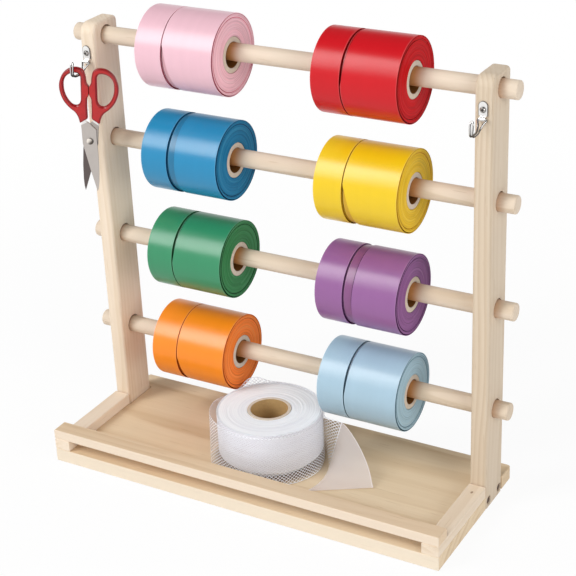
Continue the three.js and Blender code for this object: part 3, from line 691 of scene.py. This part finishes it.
for index, (colour, tints) in enumerate(RIBBON_COLOURS.items()):
    tint, edge_tint, shade_tint = (paint(*tint) for tint in tints)
    turn_finish = turn_edges(f"{colour}_turn_edges", edge_tint, 3.0 + index)
    shade_finish = turn_edges(f"{colour}_shade", shade_tint, 4.0 + index)
    under_shade_tint = (*(share * v for share, v in zip(UNDER_SHADE_SHARES, tint)), 1.0)
    for size in ("narrow", "wide"):
        wide, roll = size == "wide", f"{colour}_{size}"
        core_low, core_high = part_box(f"core_{roll}")
        low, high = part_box(f"ribbon_{roll}")
        core_radius = (core_high.z - core_low.z) / 2
        _, y, z = (core_low + core_high) / 2
        outer = max(high.y - y, y - low.y)
        seed = 10 * index + 5 * wide
        hump, centre, half = SLIPS[colour] if wide else NO_SLIP
        slip = (hump, radians(centre), radians(half))
        left, right = low.x + SEAM_HALF * wide, high.x - SEAM_HALF * (not wide)
        width = right - left
        gloss = GLOSS.get(colour, SATIN_GLOSS)
        face_finish = satin(f"{colour}_satin_{size}", tint, width, float(seed), gloss)
        under_shade_finish = satin(f"{colour}_under_{size}", under_shade_tint, width, seed + 0.5)
        wind(f"{roll}_winding", core_radius, outer, left, right, round_x(y, z), START_ANGLE[size],
             slip, RIBBON_LAYERS, RIBBON_GAPS, seed,
             [face_finish, turn_finish, shade_finish, under_shade_finish],
             f"{roll}_roll", [f"ribbon_{roll}"], f"satin_{colour}")
        bore = core_radius * CORE_BORE_SHARE
        tube = cardboard_tube(bore, core_radius, core_low.x, core_high.x, round_x(y, z))
        new_piece(f"{roll}_core", tube, [cream_board, brown_board],
                  f"{roll}_roll", [f"core_{roll}"], "cardboard")
print("ribbon rolls wound")

# %% [markdown]
# ## Routes and flat plates
# Two more helpers make the small hardware. A wire is a circle carried along a smooth route. A plate
# is an outline whose edge is rounded: the outline is drawn inwards a little at each step of its
# edge, and the flat faces between outline and holes are cut into triangles.

# %% Route and plate helpers
def through(points, count):
    """A smooth route through the points, as count points. Each stretch is a cubic. Its end slopes
    weigh the neighbours by the square roots of their distances, so tight bends don't loop."""
    p = np.array(points, float)
    p = np.vstack([2 * p[0] - p[1], p, 2 * p[-1] - p[-2]])
    t = np.linspace(0, len(points) - 1, count)
    i = np.minimum(t.astype(int), len(points) - 2)
    w = (t - i)[:, None]
    p0, p1, p2, p3 = (p[i + k] for k in range(4))
    steps = (p1 - p0, p2 - p1, p3 - p2)
    d0, d1, d2 = (np.linalg.norm(step, axis=1)[:, None] ** 0.5 for step in steps)
    slope1 = ((p1 - p0) / d0 - (p2 - p0) / (d0 + d1) + (p2 - p1) / d1) * d1
    slope2 = ((p2 - p1) / d1 - (p3 - p1) / (d1 + d2) + (p3 - p2) / d2) * d1
    bend = 3 * (p2 - p1) - 2 * slope1 - slope2
    twist = 2 * (p1 - p2) + slope1 + slope2
    return p1 + slope1 * w + bend * w ** 2 + twist * w ** 3


LIT_SIDE = np.array([-0.35, -0.55, 0.76])
WIRE_SIDES = 16


def wire(route, radius):
    """A circle carried along a route. Its frame turns as little as it can from step to step.

    The first UV value tells how far the surface faces up and to the front, from -1 to 1. The
    wire's finish turns it into painted reflection and shade: light on that side, dark on the other.
    """
    along = np.gradient(route, axis=0)
    along /= np.linalg.norm(along, axis=1)[:, None]
    side = np.cross(along[0], (0.3, 0.9, 0.2))
    first = []
    for direction in along:
        side = side - direction * (side @ direction)
        side = side / np.linalg.norm(side)
        first.append(side)
    first = np.array(first)
    second = np.cross(along, first)
    turn = np.linspace(0, tau, WIRE_SIDES + 1)[:, None]
    ring = first[:, None] * np.cos(turn) + second[:, None] * np.sin(turn)
    ends = np.repeat(route[[0, -1], None], WIRE_SIDES + 1, 1)
    tube = np.concatenate([ends[:1], route[:, None] + ring * radius, ends[1:]])
    facing = ring @ LIT_SIDE
    facing = np.concatenate([facing[:1], facing, facing[-1:]])
    run = np.linspace(0, 1, len(tube))
    return grid(tube, np.stack(np.broadcast_arrays(facing, run[:, None]), -1))


SOFTENING = 3


def resampled(outline, count):
    """A closed outline as evenly spaced points, its corners rounded by averaging neighbours."""
    closed = np.vstack([outline, outline[:1]])
    run = run_along(closed)
    spots = np.linspace(0, run[-1], count, endpoint=False)
    even = np.stack([np.interp(spots, run, closed[:, k]) for k in range(2)], -1)
    for _ in range(SOFTENING):
        even = (np.roll(even, 1, 0) + 2 * even + np.roll(even, -1, 0)) / 4
    return even


def left_handed(outline, clockwise):
    """The outline turned to run clockwise or not, so that its material is always on its left."""
    x, y = outline.T
    area = np.sum(x * np.roll(y, -1) - y * np.roll(x, -1))
    return outline if (area < 0) == clockwise else outline[::-1]


def inwards(outline):
    """For each point the way into the material, longer at corners so that edges stay parallel."""
    ahead = np.roll(outline, -1, 0) - outline
    ahead /= np.linalg.norm(ahead, axis=1)[:, None]
    behind = np.roll(ahead, 1, 0)
    normals = [np.stack([-d[:, 1], d[:, 0]], -1) for d in (behind, ahead)]
    middle = normals[0] + normals[1]
    return 2 * middle / np.maximum((middle ** 2).sum(1), 0.6)[:, None]


def plate(outlines, edges, place, edge_kind=0):
    """A plate from outlines, the outer one first and then its holes, with an edge profile for each.

    An edge profile is a list of (inset, height) from the back face to the front. place maps arrays
    of u, v and height to points. Edges stay sharper near the middle line, where two halves meet.
    """
    parts, faces = [], ([], [])
    for outline, edge in zip(outlines, edges):
        inset, height = np.array(edge, float).T
        slope = inwards(outline) * np.clip(np.abs(outline[:, :1]) / 2, 0.2, 1)
        ring = outline[None] + slope[None] * inset[:, None, None]
        ring = np.concatenate([ring, ring[:, :1]], 1)
        h = np.repeat(height[:, None], ring.shape[1], 1)
        parts.append(grid(place(ring[..., 0], ring[..., 1], h), ring, edge_kind))
        for side, row in zip(faces, (0, -1)):
            side.append((ring[row, :-1], height[row]))
    for side in faces:
        flat = np.concatenate([points for points, _ in side])
        triangles = tessellate_polygon([[Vector((*p, 0)) for p in points] for points, _ in side])
        h = np.full(len(flat), side[0][1])
        parts.append((place(flat[:, 0], flat[:, 1], h), flat, np.array(triangles), 0))
    return parts


def quarter_rounds(radius, half):
    """The edge profile of a plate from height -half to half whose edges are quarter rounds."""
    turn = np.linspace(0, pi / 2, 5)
    back = [(radius * (1 - sin(a)), -half + radius * (1 - cos(a))) for a in turn]
    return back + [(inset, -height) for inset, height in reversed(back)]


# %% [markdown]
# ## Hooks and screws
# Each hook is a plated steel plate with a rolled barrel, and a doubled wire that comes out of the
# barrel and bends into a J. Plating is a mirror with a faint haze, and the wire and the plates'
# edges are painted light and dark as reflection and shade. The screw heads have a cross recess and
# a rim painted darker than the head as shade, drawn as masks round the head's middle.

# %% Metal finishes
def metal(name, tint, roughness, seed, cross=None, rim=None, outline=None, metallic=1.0):
    """A metal with slight unevenness. cross is (x, y, z, arm, width, axis) of a recess painted dark
    as shade, and rim the radius from which a head's turned-down edge is painted dark too, as shade.
    outline is (x, z, half width) of a round-topped plate whose rounded edge is painted dark as
    shade."""
    finish = Finish(name)
    x, _, z = finish.place
    haze = finish.noise(300, seed, 3.0)
    finish.coat(haze * 0.25, toned(tint, 0.8), tint)
    relief = (haze, 0.00005, 0.4)
    # Painted shade: the cross recess and the head's rim are painted dark.
    if cross:
        *middle, arm, width, axis = cross
        across = [(v - m).size() for v, m in zip(finish.place, middle)]
        p, q = (across[k] for k in range(3) if k != axis)
        arms = p.least(q).rise(width, 0.6 * width) * p.most(q).rise(arm, 0.85 * arm)
        arms = arms.most(((p * p + q * q) ** 0.5).rise(0.88 * rim, 1.02 * rim) * 0.85)
        finish.coat(arms, toned(tint, 0.12))
        relief = (haze * 0.05 - arms, 0.0003, 0.8)
    # Painted shade: the plate's rounded edge is painted dark.
    if outline:
        middle_x, top_z, half = outline
        above = (z - top_z).most(0.0)
        edge = (((x - middle_x) ** 2 + above ** 2) ** 0.5).rise(half - 0.0006, half - 0.0001)
        finish.coat(edge * 0.85, paint(88, 82, 78))
    return finish.shade(haze * 0.12 + roughness, relief, Metallic=metallic)


# %% Hooks
HOOK_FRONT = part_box("upright_left")[0].y
HOOK_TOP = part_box("hook_plate_left")[1].z
BARREL_Y, BARREL_Z = -2.1, -14.5
HOOK_BOTTOM, HOOK_REACH, HOOK_BEND, WIRE_HALF = -22.8, -24.5, 4.0, 1.1
WIRE_RADIUS = 0.0008


def hook_route(x):
    """The doubled wire's route, in millimetres from the plate's top on the upright's face."""
    bend_y = HOOK_REACH + HOOK_BEND
    leg = [
        (0.7, BARREL_Y, BARREL_Z), (2.8, BARREL_Y, BARREL_Z), (3.7, BARREL_Y - 0.8, BARREL_Z - 0.8),
        (2.3, BARREL_Y - 3.5, BARREL_Z - 3), (WIRE_HALF, BARREL_Y - 7.5, HOOK_BOTTOM + 1.6),
        (WIRE_HALF, BARREL_Y - 11, HOOK_BOTTOM + 0.1), (WIRE_HALF, bend_y, HOOK_BOTTOM),
    ]
    for angle in np.radians((30, 60, 90)):
        leg.append((WIRE_HALF, bend_y - HOOK_BEND * sin(angle),
                    HOOK_BOTTOM + HOOK_BEND * (1 - cos(angle))))
    leg.append((WIRE_HALF, HOOK_REACH + 1, -11.2))
    tip = (0, HOOK_REACH + 2, -9.8)
    back = [(-px, py, pz) for px, py, pz in reversed(leg)]
    route = through([*leg, tip, *back], 150)
    return route * MM + np.array([x, HOOK_FRONT, HOOK_TOP])


NICKEL, SCREW_STEEL, BRONZE = paint(240, 239, 237), paint(176, 172, 168), paint(104, 66, 46)
CROSS_SMALL, CROSS_LARGE = (0.0014, 0.0006), (0.0022, 0.0008)

# Painted reflection and shade: the wire is light where it faces up and to the front, dark
# elsewhere.
bent = Finish("nickel_wire", "surface")
bent.coat(bent.place[0].rise(-0.1, 0.75), paint(224, 222, 220), paint(62, 58, 56))
wire_finish = bent.shade(0.22, Metallic=1.0)
for end in ("left", "right"):
    low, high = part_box(f"hook_plate_{end}")
    middle_x, half = (low.x + high.x) / 2, (high.x - low.x) / 2
    # The plate's rounded edge is painted dark as shade.
    top = (middle_x, high.z - half, half)
    plated = metal(f"nickel_plate_{end}", NICKEL, 0.24, 1.0, outline=top, metallic=0.75)
    give(f"hook_plate_{end}", plated)
    new_piece(f"hook_wire_{end}_round", [wire(hook_route(middle_x), WIRE_RADIUS)], [wire_finish],
              "rack", [f"hook_wire_{end}"], "nickel", angle=60)
    low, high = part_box(f"hook_screw_{end}")
    cross = (middle_x, low.y, (low.z + high.z) / 2, *CROSS_SMALL, 1)
    rim = (high.x - low.x) / 2
    give(f"hook_screw_{end}", metal(f"nickel_screw_{end}", SCREW_STEEL, 0.3, 4.0, cross, rim))
    for row in ("front", "rear"):
        low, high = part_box(f"foot_screw_{end}_{row}")
        outer_x = high.x if end == "right" else low.x
        cross = (outer_x, (low.y + high.y) / 2, (low.z + high.z) / 2, *CROSS_LARGE, 0)
        rim = (high.y - low.y) / 2
        bronze = metal(f"bronze_screw_{end}_{row}", BRONZE, 0.42, 6.0, cross, rim)
        give(f"foot_screw_{end}_{row}", bronze)
print("hooks and screws finished")

# %% [markdown]
# ## Scissors
# The scissors hang by one finger loop. Their shapes are flat outlines in a plane of their own, with
# the pivot at its middle, so they are drawn there in millimetres and set upright last. The handles
# are moulded: the outside of a loop is well rounded, and the inside has a broad slope. The rounded
# edges and the slope are painted a darker red as shade, which reads as a darker ring. Each half is
# the mirror image of the other.

# %% Scissors plane
SCISSOR_TURN, SCISSOR_TILT = radians(24), radians(4)
HANG_U, HANG_V = -11.05, 66.7
HANG_POINT = np.array(next(j for j in frame["joints"] if j["name"] == "scissors_swing")["pos_m"])


def on_scissors(mirror):
    """Places u, v and height towards the viewer, in millimetres, for one half of the scissors."""
    def place(u, v, height):
        du, dv = mirror * u - HANG_U, v - HANG_V
        across = du * cos(SCISSOR_TILT) + dv * sin(SCISSOR_TILT)
        rise = -du * sin(SCISSOR_TILT) + dv * cos(SCISSOR_TILT)
        x = across * cos(SCISSOR_TURN) + height * sin(SCISSOR_TURN)
        y = across * sin(SCISSOR_TURN) - height * cos(SCISSOR_TURN)
        return HANG_POINT + np.stack([x, y, rise], -1) * MM
    return place


# %% Scissor outlines
LOOP_OUTSIDE = [
    (-0.15, 52.2), (-2, 55.5), (-2.6, 60.5), (-4.2, 66.6), (-7.2, 69.1), (-13.2, 69.7),
    (-18.5, 67.9), (-23.5, 63.3), (-26.4, 56.9), (-27.3, 51.5), (-26.6, 45.4), (-24.3, 38.9),
    (-21.4, 34.5), (-17.1, 30.1), (-13.8, 27.6), (-11.1, 23.8), (-9.7, 19.7),
]
STEM = [(-9.1, 16.8), (-1.8, 21.5), (-2.1, 31), (-2, 40.5), (-0.15, 44.2)]
LOOP_HOLE = [
    (-7.5, 60.8), (-9.3, 63.9), (-13.3, 64.4), (-16.6, 63.6), (-20.3, 61.1), (-22.6, 56.9),
    (-23.1, 51.5), (-22.3, 45.4), (-20, 40), (-16.7, 35.7), (-13.5, 33.9), (-10.2, 34.4),
    (-8.4, 36.5),
]
HOLE_SIDE = [(-7.6, 39)]
BLADE = [
    (-7.2, 27), (-7.2, 17.2), (-8.1, 15), (-7.7, 10.6), (-7.1, 0.2), (-7, -2.6), (0, -29.3),
    (5.8, -49.5), (6.8, -45), (7.4, -38), (7.6, -24), (7, -9), (6.1, 2), (6, 10.8), (-1.2, 18),
    (-3.4, 19.2), (-3.4, 27),
]
HANDLE_HALF = 2.3
BLADE_THICK, BLADE_GAP = 1.3, 0.15
PIVOT_HOLE = 2.1

outside = np.vstack([through(LOOP_OUTSIDE, 120), STEM])
outside = left_handed(resampled(outside, 220), False)
hole = left_handed(resampled(np.vstack([through(LOOP_HOLE, 90), HOLE_SIDE]), 130), True)
blade = left_handed(np.array(BLADE, float), False)
turn = np.linspace(0, tau, 32, endpoint=False)
pivot_hole = left_handed(PIVOT_HOLE * np.stack([np.cos(turn), np.sin(turn)], -1), True)
slope = [(1.5, -HANDLE_HALF), (0.35, -HANDLE_HALF + 1.1), (0, -HANDLE_HALF + 1.6)]
hole_slope = slope + [(inset, -height) for inset, height in reversed(slope)]
blade_edge = [(0.1, 0), (0, 0.1), (0, BLADE_THICK - 0.1), (0.1, BLADE_THICK)]


# %% Scissor finishes
def moulded(name, tint, seed):
    """Glossy moulded plastic with a slight ripple and fine rubbed marks."""
    finish = Finish(name)
    ripple = finish.noise(120, seed, 1.0)
    rubbed = finish.noise(900, seed + 2, 3.0, 0.7)
    finish.coat(ripple.rise(0.35, 0.7) * 0.5, toned(tint, 0.82), tint)
    relief = (ripple + rubbed * 0.15, 0.0002, 0.4)
    return finish.shade(0.30 + (rubbed - 0.5) * 0.16, relief)


def ground_steel(name, tint, upper, seed):
    """Blade steel on a UV map in millimetres: ground across the blade, in another tint above the
    pivot, and bright next to the handle. A darker tint below the pivot is painted shade."""
    finish = Finish(name, "surface")
    u, v = finish.place
    scratches = finish.noise((0.25, 7), seed, 3.0, 0.7)
    cloud = finish.noise((0.2, 0.08), seed + 2)
    collar = (v - u * 0.64 - 20.0).rise(-0.25, 0.25)
    finish.coat(v.rise(-5.0, 2.0), upper, tint)
    finish.coat(scratches * 0.14 + cloud * 0.11, paint(0, 0, 0))
    finish.coat(collar, paint(236, 234, 232))
    roughness = 0.36 + (scratches - 0.5) * 0.2 - collar * 0.16
    return finish.shade(roughness, (scratches, 0.00004, 0.6), Metallic=1.0)


# %% Scissor pieces
red_plastic = moulded("red_plastic", paint(180, 26, 26), 2.0)
# Painted shade: the handles' rounded edges and inner slope take a darker red.
red_shaded_edge = moulded("red_plastic_shaded_edge", paint(146, 12, 16), 5.0)
# Painted shade: the rear blade is painted darker below the pivot.
FRONT_TINT, REAR_SHADE_TINT, REAR_UPPER = paint(206, 198, 192), paint(112, 102, 100), paint(186, 178, 172)
halves = [
    (1, "left", "front", BLADE_GAP, "scissors_hung_half", FRONT_TINT, FRONT_TINT),
    (-1, "right", "rear", -BLADE_GAP - BLADE_THICK, "scissors_free_half", REAR_SHADE_TINT, REAR_UPPER),
]
for mirror, hand, layer, start, body, tint, upper in halves:
    place = on_scissors(mirror)
    edges = [quarter_rounds(1.5, HANDLE_HALF), hole_slope]
    new_piece(f"scissor_handle_{hand}_moulded", plate([outside, hole], edges, place, 1),
              [red_plastic, red_shaded_edge], body, [f"scissor_handle_{hand}"], "red_plastic", angle=35)
    lifted = lambda u, v, h, place=place, start=start: place(u, v, h + start)
    steel = ground_steel(f"blade_steel_{layer}", tint, upper, 3.0 + start)
    blade_parts = plate([blade, pivot_hole], [blade_edge] * 2, lifted)
    new_piece(f"scissor_blade_{layer}_ground", blade_parts, [steel], body,
              [f"scissor_blade_{layer}"], "blade_steel", angle=30)

PIVOT_FACE = BLADE_GAP + BLADE_THICK + 0.1
dome = [(3.2 * cos(a), PIVOT_FACE + 0.3 + 0.9 * sin(a))
        for a in np.linspace(0, pi / 2, 9)]
rivet = [(0, -PIVOT_FACE - 0.8), (2.8, -PIVOT_FACE - 0.5), (2.8, -PIVOT_FACE), (1.8, -PIVOT_FACE),
         (1.8, PIVOT_FACE), (3.2, PIVOT_FACE), *dome]
flat_place = on_scissors(1)
around = lambda r, t, h: flat_place(r * np.cos(t), r * np.sin(t), h)

domed = Finish("nickel_rivet")
x, _, z = domed.place
low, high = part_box("scissor_pivot")
pivot = (low + high) / 2
# Painted highlight and shade: the dome is light at its upper left and dark at its lower right, and
# a painted dark ring runs round its edge.
to_right, to_top = x - pivot.x, z - pivot.z
shaded = (to_right - to_top).rise(-0.0012, 0.0032)
domed.coat(shaded * 0.95, paint(52, 40, 30), paint(222, 214, 204))
rim = ((to_right ** 2 + to_top ** 2) ** 0.5).rise(0.0026, 0.0030)
domed.coat(rim * 0.8, paint(60, 54, 50))
rivet_finish = domed.shade(0.4)
new_piece("scissor_pivot_domed", [turned(rivet, around, 40)], [rivet_finish],
          "scissors_hung_half", ["scissor_pivot"], "nickel")
print("scissors made")

# %% [markdown]
# ## Mesh ribbon roll
# The last roll stands on its end in the tray. It is wound like the others, from a white net so fine
# that many layers read as solid white. Its outermost turn has come loose: one layer of net that
# stands off the roll, passes round it and lies down on the right. A single layer is an open sheet,
# and its holes are transparent.

# %% Net finishes
NET_ACROSS, NET_ALONG, NET_THREAD = 0.0032, 0.0037, 0.12
NET_WHITE = paint(246, 248, 255)


def net_threads(across, along, thread):
    """1 on the threads of a diamond net and 0 in its holes: two families of slanting lines."""
    p, q = across / NET_ACROSS, along / NET_ALONG
    lines = [(way.fraction() - 0.5).size().rise(thread, 0.6 * thread) for way in (p + q, p - q)]
    return lines[0].most(lines[1])


def net_winding(name, seed):
    """Many layers of net: two nets a little out of step, which beat into faint arcs."""
    finish = Finish(name, "surface")
    across, along = finish.place
    drift = finish.noise((20, 12), seed, 1.0) * 0.006
    top = net_threads(across, along, 0.16)
    under = net_threads(across * 1.06 + drift, along * 0.97 + drift, 0.2)
    fine = finish.noise(900, seed + 2)
    finish.coat(top.most(under) * 0.6 + fine * 0.3, NET_WHITE, paint(206, 203, 210))
    relief = (top + under * 0.5, 0.0001, 0.4)
    return finish.shade(0.6, relief, specular=0.3, Sheen_Weight=0.15)


def net_edges(name, seed):
    """The ends of the net's turns: fine pale rings, a few of them greyer."""
    finish = Finish(name, "surface")
    lines = finish.noise((1100, 7), seed, 2.0, 0.7)
    groups = finish.noise((260, 4), seed + 4, 1.0)
    finish.coat(lines.rise(0.6, 0.35) * 0.5, paint(222, 224, 234), paint(248, 251, 255))
    finish.coat(groups.rise(0.55, 0.7) * 0.3, paint(232, 232, 240))
    return finish.shade(0.7, (lines, 0.00025, 0.6), specular=0.3)


def net_sheet(name, width, spans, fold_at):
    """One layer of net. In each span (start, full, last, end) along it, the threads lie so close
    that it turns into an even veil. At fold_at a narrow band is drawn denser, as where the net is
    creased double."""
    finish = Finish(name, "surface")
    across, along = finish.place
    veil = along * 0
    for start, full, last, end in spans:
        veil = veil.most(along.rise(start, full) * along.rise(end, last))
    open_net = net_threads(across, along, NET_THREAD) * 0.95
    fold = (along - fold_at).size().rise(0.0007, 0.0003) * 0.75
    rim = (across - width / 2).size().rise(width / 2 - 0.0011, width / 2 - 0.0006) * 0.7
    cover = (open_net * (1 - veil) + veil * 0.44).most(fold).most(rim)
    finish.coat(veil, paint(236, 229, 232), NET_WHITE)
    return finish.shade(0.6, specular=0.25, Alpha=cover)


# %% Wound roll and its core
low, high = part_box("mesh_roll_winding")
core_low, core_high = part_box("mesh_roll_core")
roll_x, roll_y, _ = (core_low + core_high) / 2
core_radius = (core_high.x - core_low.x) / 2
roll_radius = max(high.x - roll_x, roll_x - low.x)
CORE_WALL = 0.003
FOOT_DEPTH = 0.010
NET_LAYERS = [(0, 1.0, 0.5), (1, 0.6, 0.4), (1.15, 0.1, 0.4), (2, 0, 0.4)]
stand = round_z(roll_x, roll_y)


def drawn_in(r, t, h):
    """Places the winding so that the foot of its outer turns stands higher, the outermost most."""
    share = (high.z - h) / (high.z - low.z)
    return stand(r, t, h + np.clip(r - roll_radius + FOOT_DEPTH, 0, 1) * share)


net_edge, net_round = net_edges("net_edges", 2.0), net_winding("net_wound", 1.0)
wind("mesh_roll_wound", core_radius, roll_radius, low.z, high.z, drawn_in, radians(100),
     (0.0, 0.0, 1.0), NET_LAYERS, (0.0, 0.0), 77, [net_round, net_edge, net_edge, net_round],
     "mesh_roll", ["mesh_roll_winding"], "mesh_ribbon")
tube = cardboard_tube(core_radius - CORE_WALL, core_radius, core_low.z, core_high.z, stand, 64)
# Painted shade: the mesh core's bore is lined with kraft board painted darker for its shade.
golden_board = cardboard("cardboard_golden", 3.0, (206, 170, 116))
new_piece("mesh_roll_tube", tube, [cream_board, golden_board], "mesh_roll",
          ["mesh_roll_core"], "cardboard")

# %% Loose turn and free end
LOOSE_TURN = [
    (26, 0.8, 0.8, 46), (8, 2.6, 1.0, 46.5), (-10, 6, 1.3, 47), (-35, 7.5, 2.4, 47.5),
    (-65, 8, 3, 48), (-95, 8, 3, 48), (-125, 8, 4, 48), (-150, 8, 6.5, 48), (-170, 7, 6, 47.5),
    (-184, 4, 3.8, 46.3), (-197, 1.7, 1.4, 45.6), (-207, 1.3, 1.3, 48.5), (-217, 1.3, 1.6, 54.5),
    (-227, 1.3, 1.7, 54.5), (-240, 1.3, 1.4, 49.5), (-258, 1.3, 1.3, 47.8), (-280, 1.3, 1.3, 47.5),
    (-303, 1.3, 1.3, 47), (-325, 1.5, 1.4, 46),
]
FREE_END = [
    (53.5, 13, 50, 16.5, 44), (61, -1.5, 66, 18, 41), (64, -17, 82, 13.5, 30),
    (63.5, -31, 101, 1, 14), (60.5, -42, 112.5, -11.5, 0.6),
]
SHEET_STEPS, SHEET_ROWS = 260, 15
TAIL_LIFT = 0.0006


def sheet_edges():
    """The foot and the head of the sheet: first an angle, how far each stands off the roll and
    the head's height, then places of the foot and the head."""
    angle, foot, head, height = np.array(LOOSE_TURN, float).T
    angle = np.radians(angle)
    spread = np.stack([np.cos(angle), np.sin(angle)], -1)
    free = np.array(FREE_END, float)
    feet, heads = (spread * (roll_radius / MM + off)[:, None] for off in (foot, head))
    feet = np.vstack([feet, free[:, :2]])
    feet = np.hstack([feet, np.zeros((len(feet), 1))])
    heads = np.vstack([np.hstack([heads, height[:, None]]), free[:, 2:]])
    return through(feet, SHEET_STEPS), through(heads, SHEET_STEPS)


foot_edge, head_edge = sheet_edges()
share = np.linspace(0, 1, SHEET_ROWS)[:, None, None]
sheet_points = foot_edge[None] * (1 - share) + head_edge[None] * share
sheet_points = sheet_points * MM + np.array([roll_x, roll_y, low.z + TAIL_LIFT])
middle_line = sheet_points[SHEET_ROWS // 2]
sheet_run = run_along(middle_line)
sheet_width = float(np.linalg.norm(sheet_points[-1] - sheet_points[0], axis=1).mean())
sheet_length = float(sheet_run[-1])
sheet_uv = np.stack(np.broadcast_arrays(share[..., 0] * sheet_width, sheet_run[None]), -1)
left_side = float(sheet_run[np.argmin(np.abs(middle_line[:SHEET_STEPS // 2, 1] - roll_y))])
net = net_sheet("net_single", sheet_width, [
    (left_side - 0.034, left_side - 0.016, left_side + 0.006, left_side + 0.012),
    (sheet_length - 0.049, sheet_length - 0.045, 1.0, 1.1),
], sheet_length - 0.047)
tail = new_piece("mesh_ribbon_sheet", [grid(sheet_points, sheet_uv)], [net], "rack",
                 ["mesh_ribbon_tail"], "mesh_ribbon", angle=180, closed=False)
print("net sheet measures", round(sheet_width, 4), "by", round(sheet_length, 4))
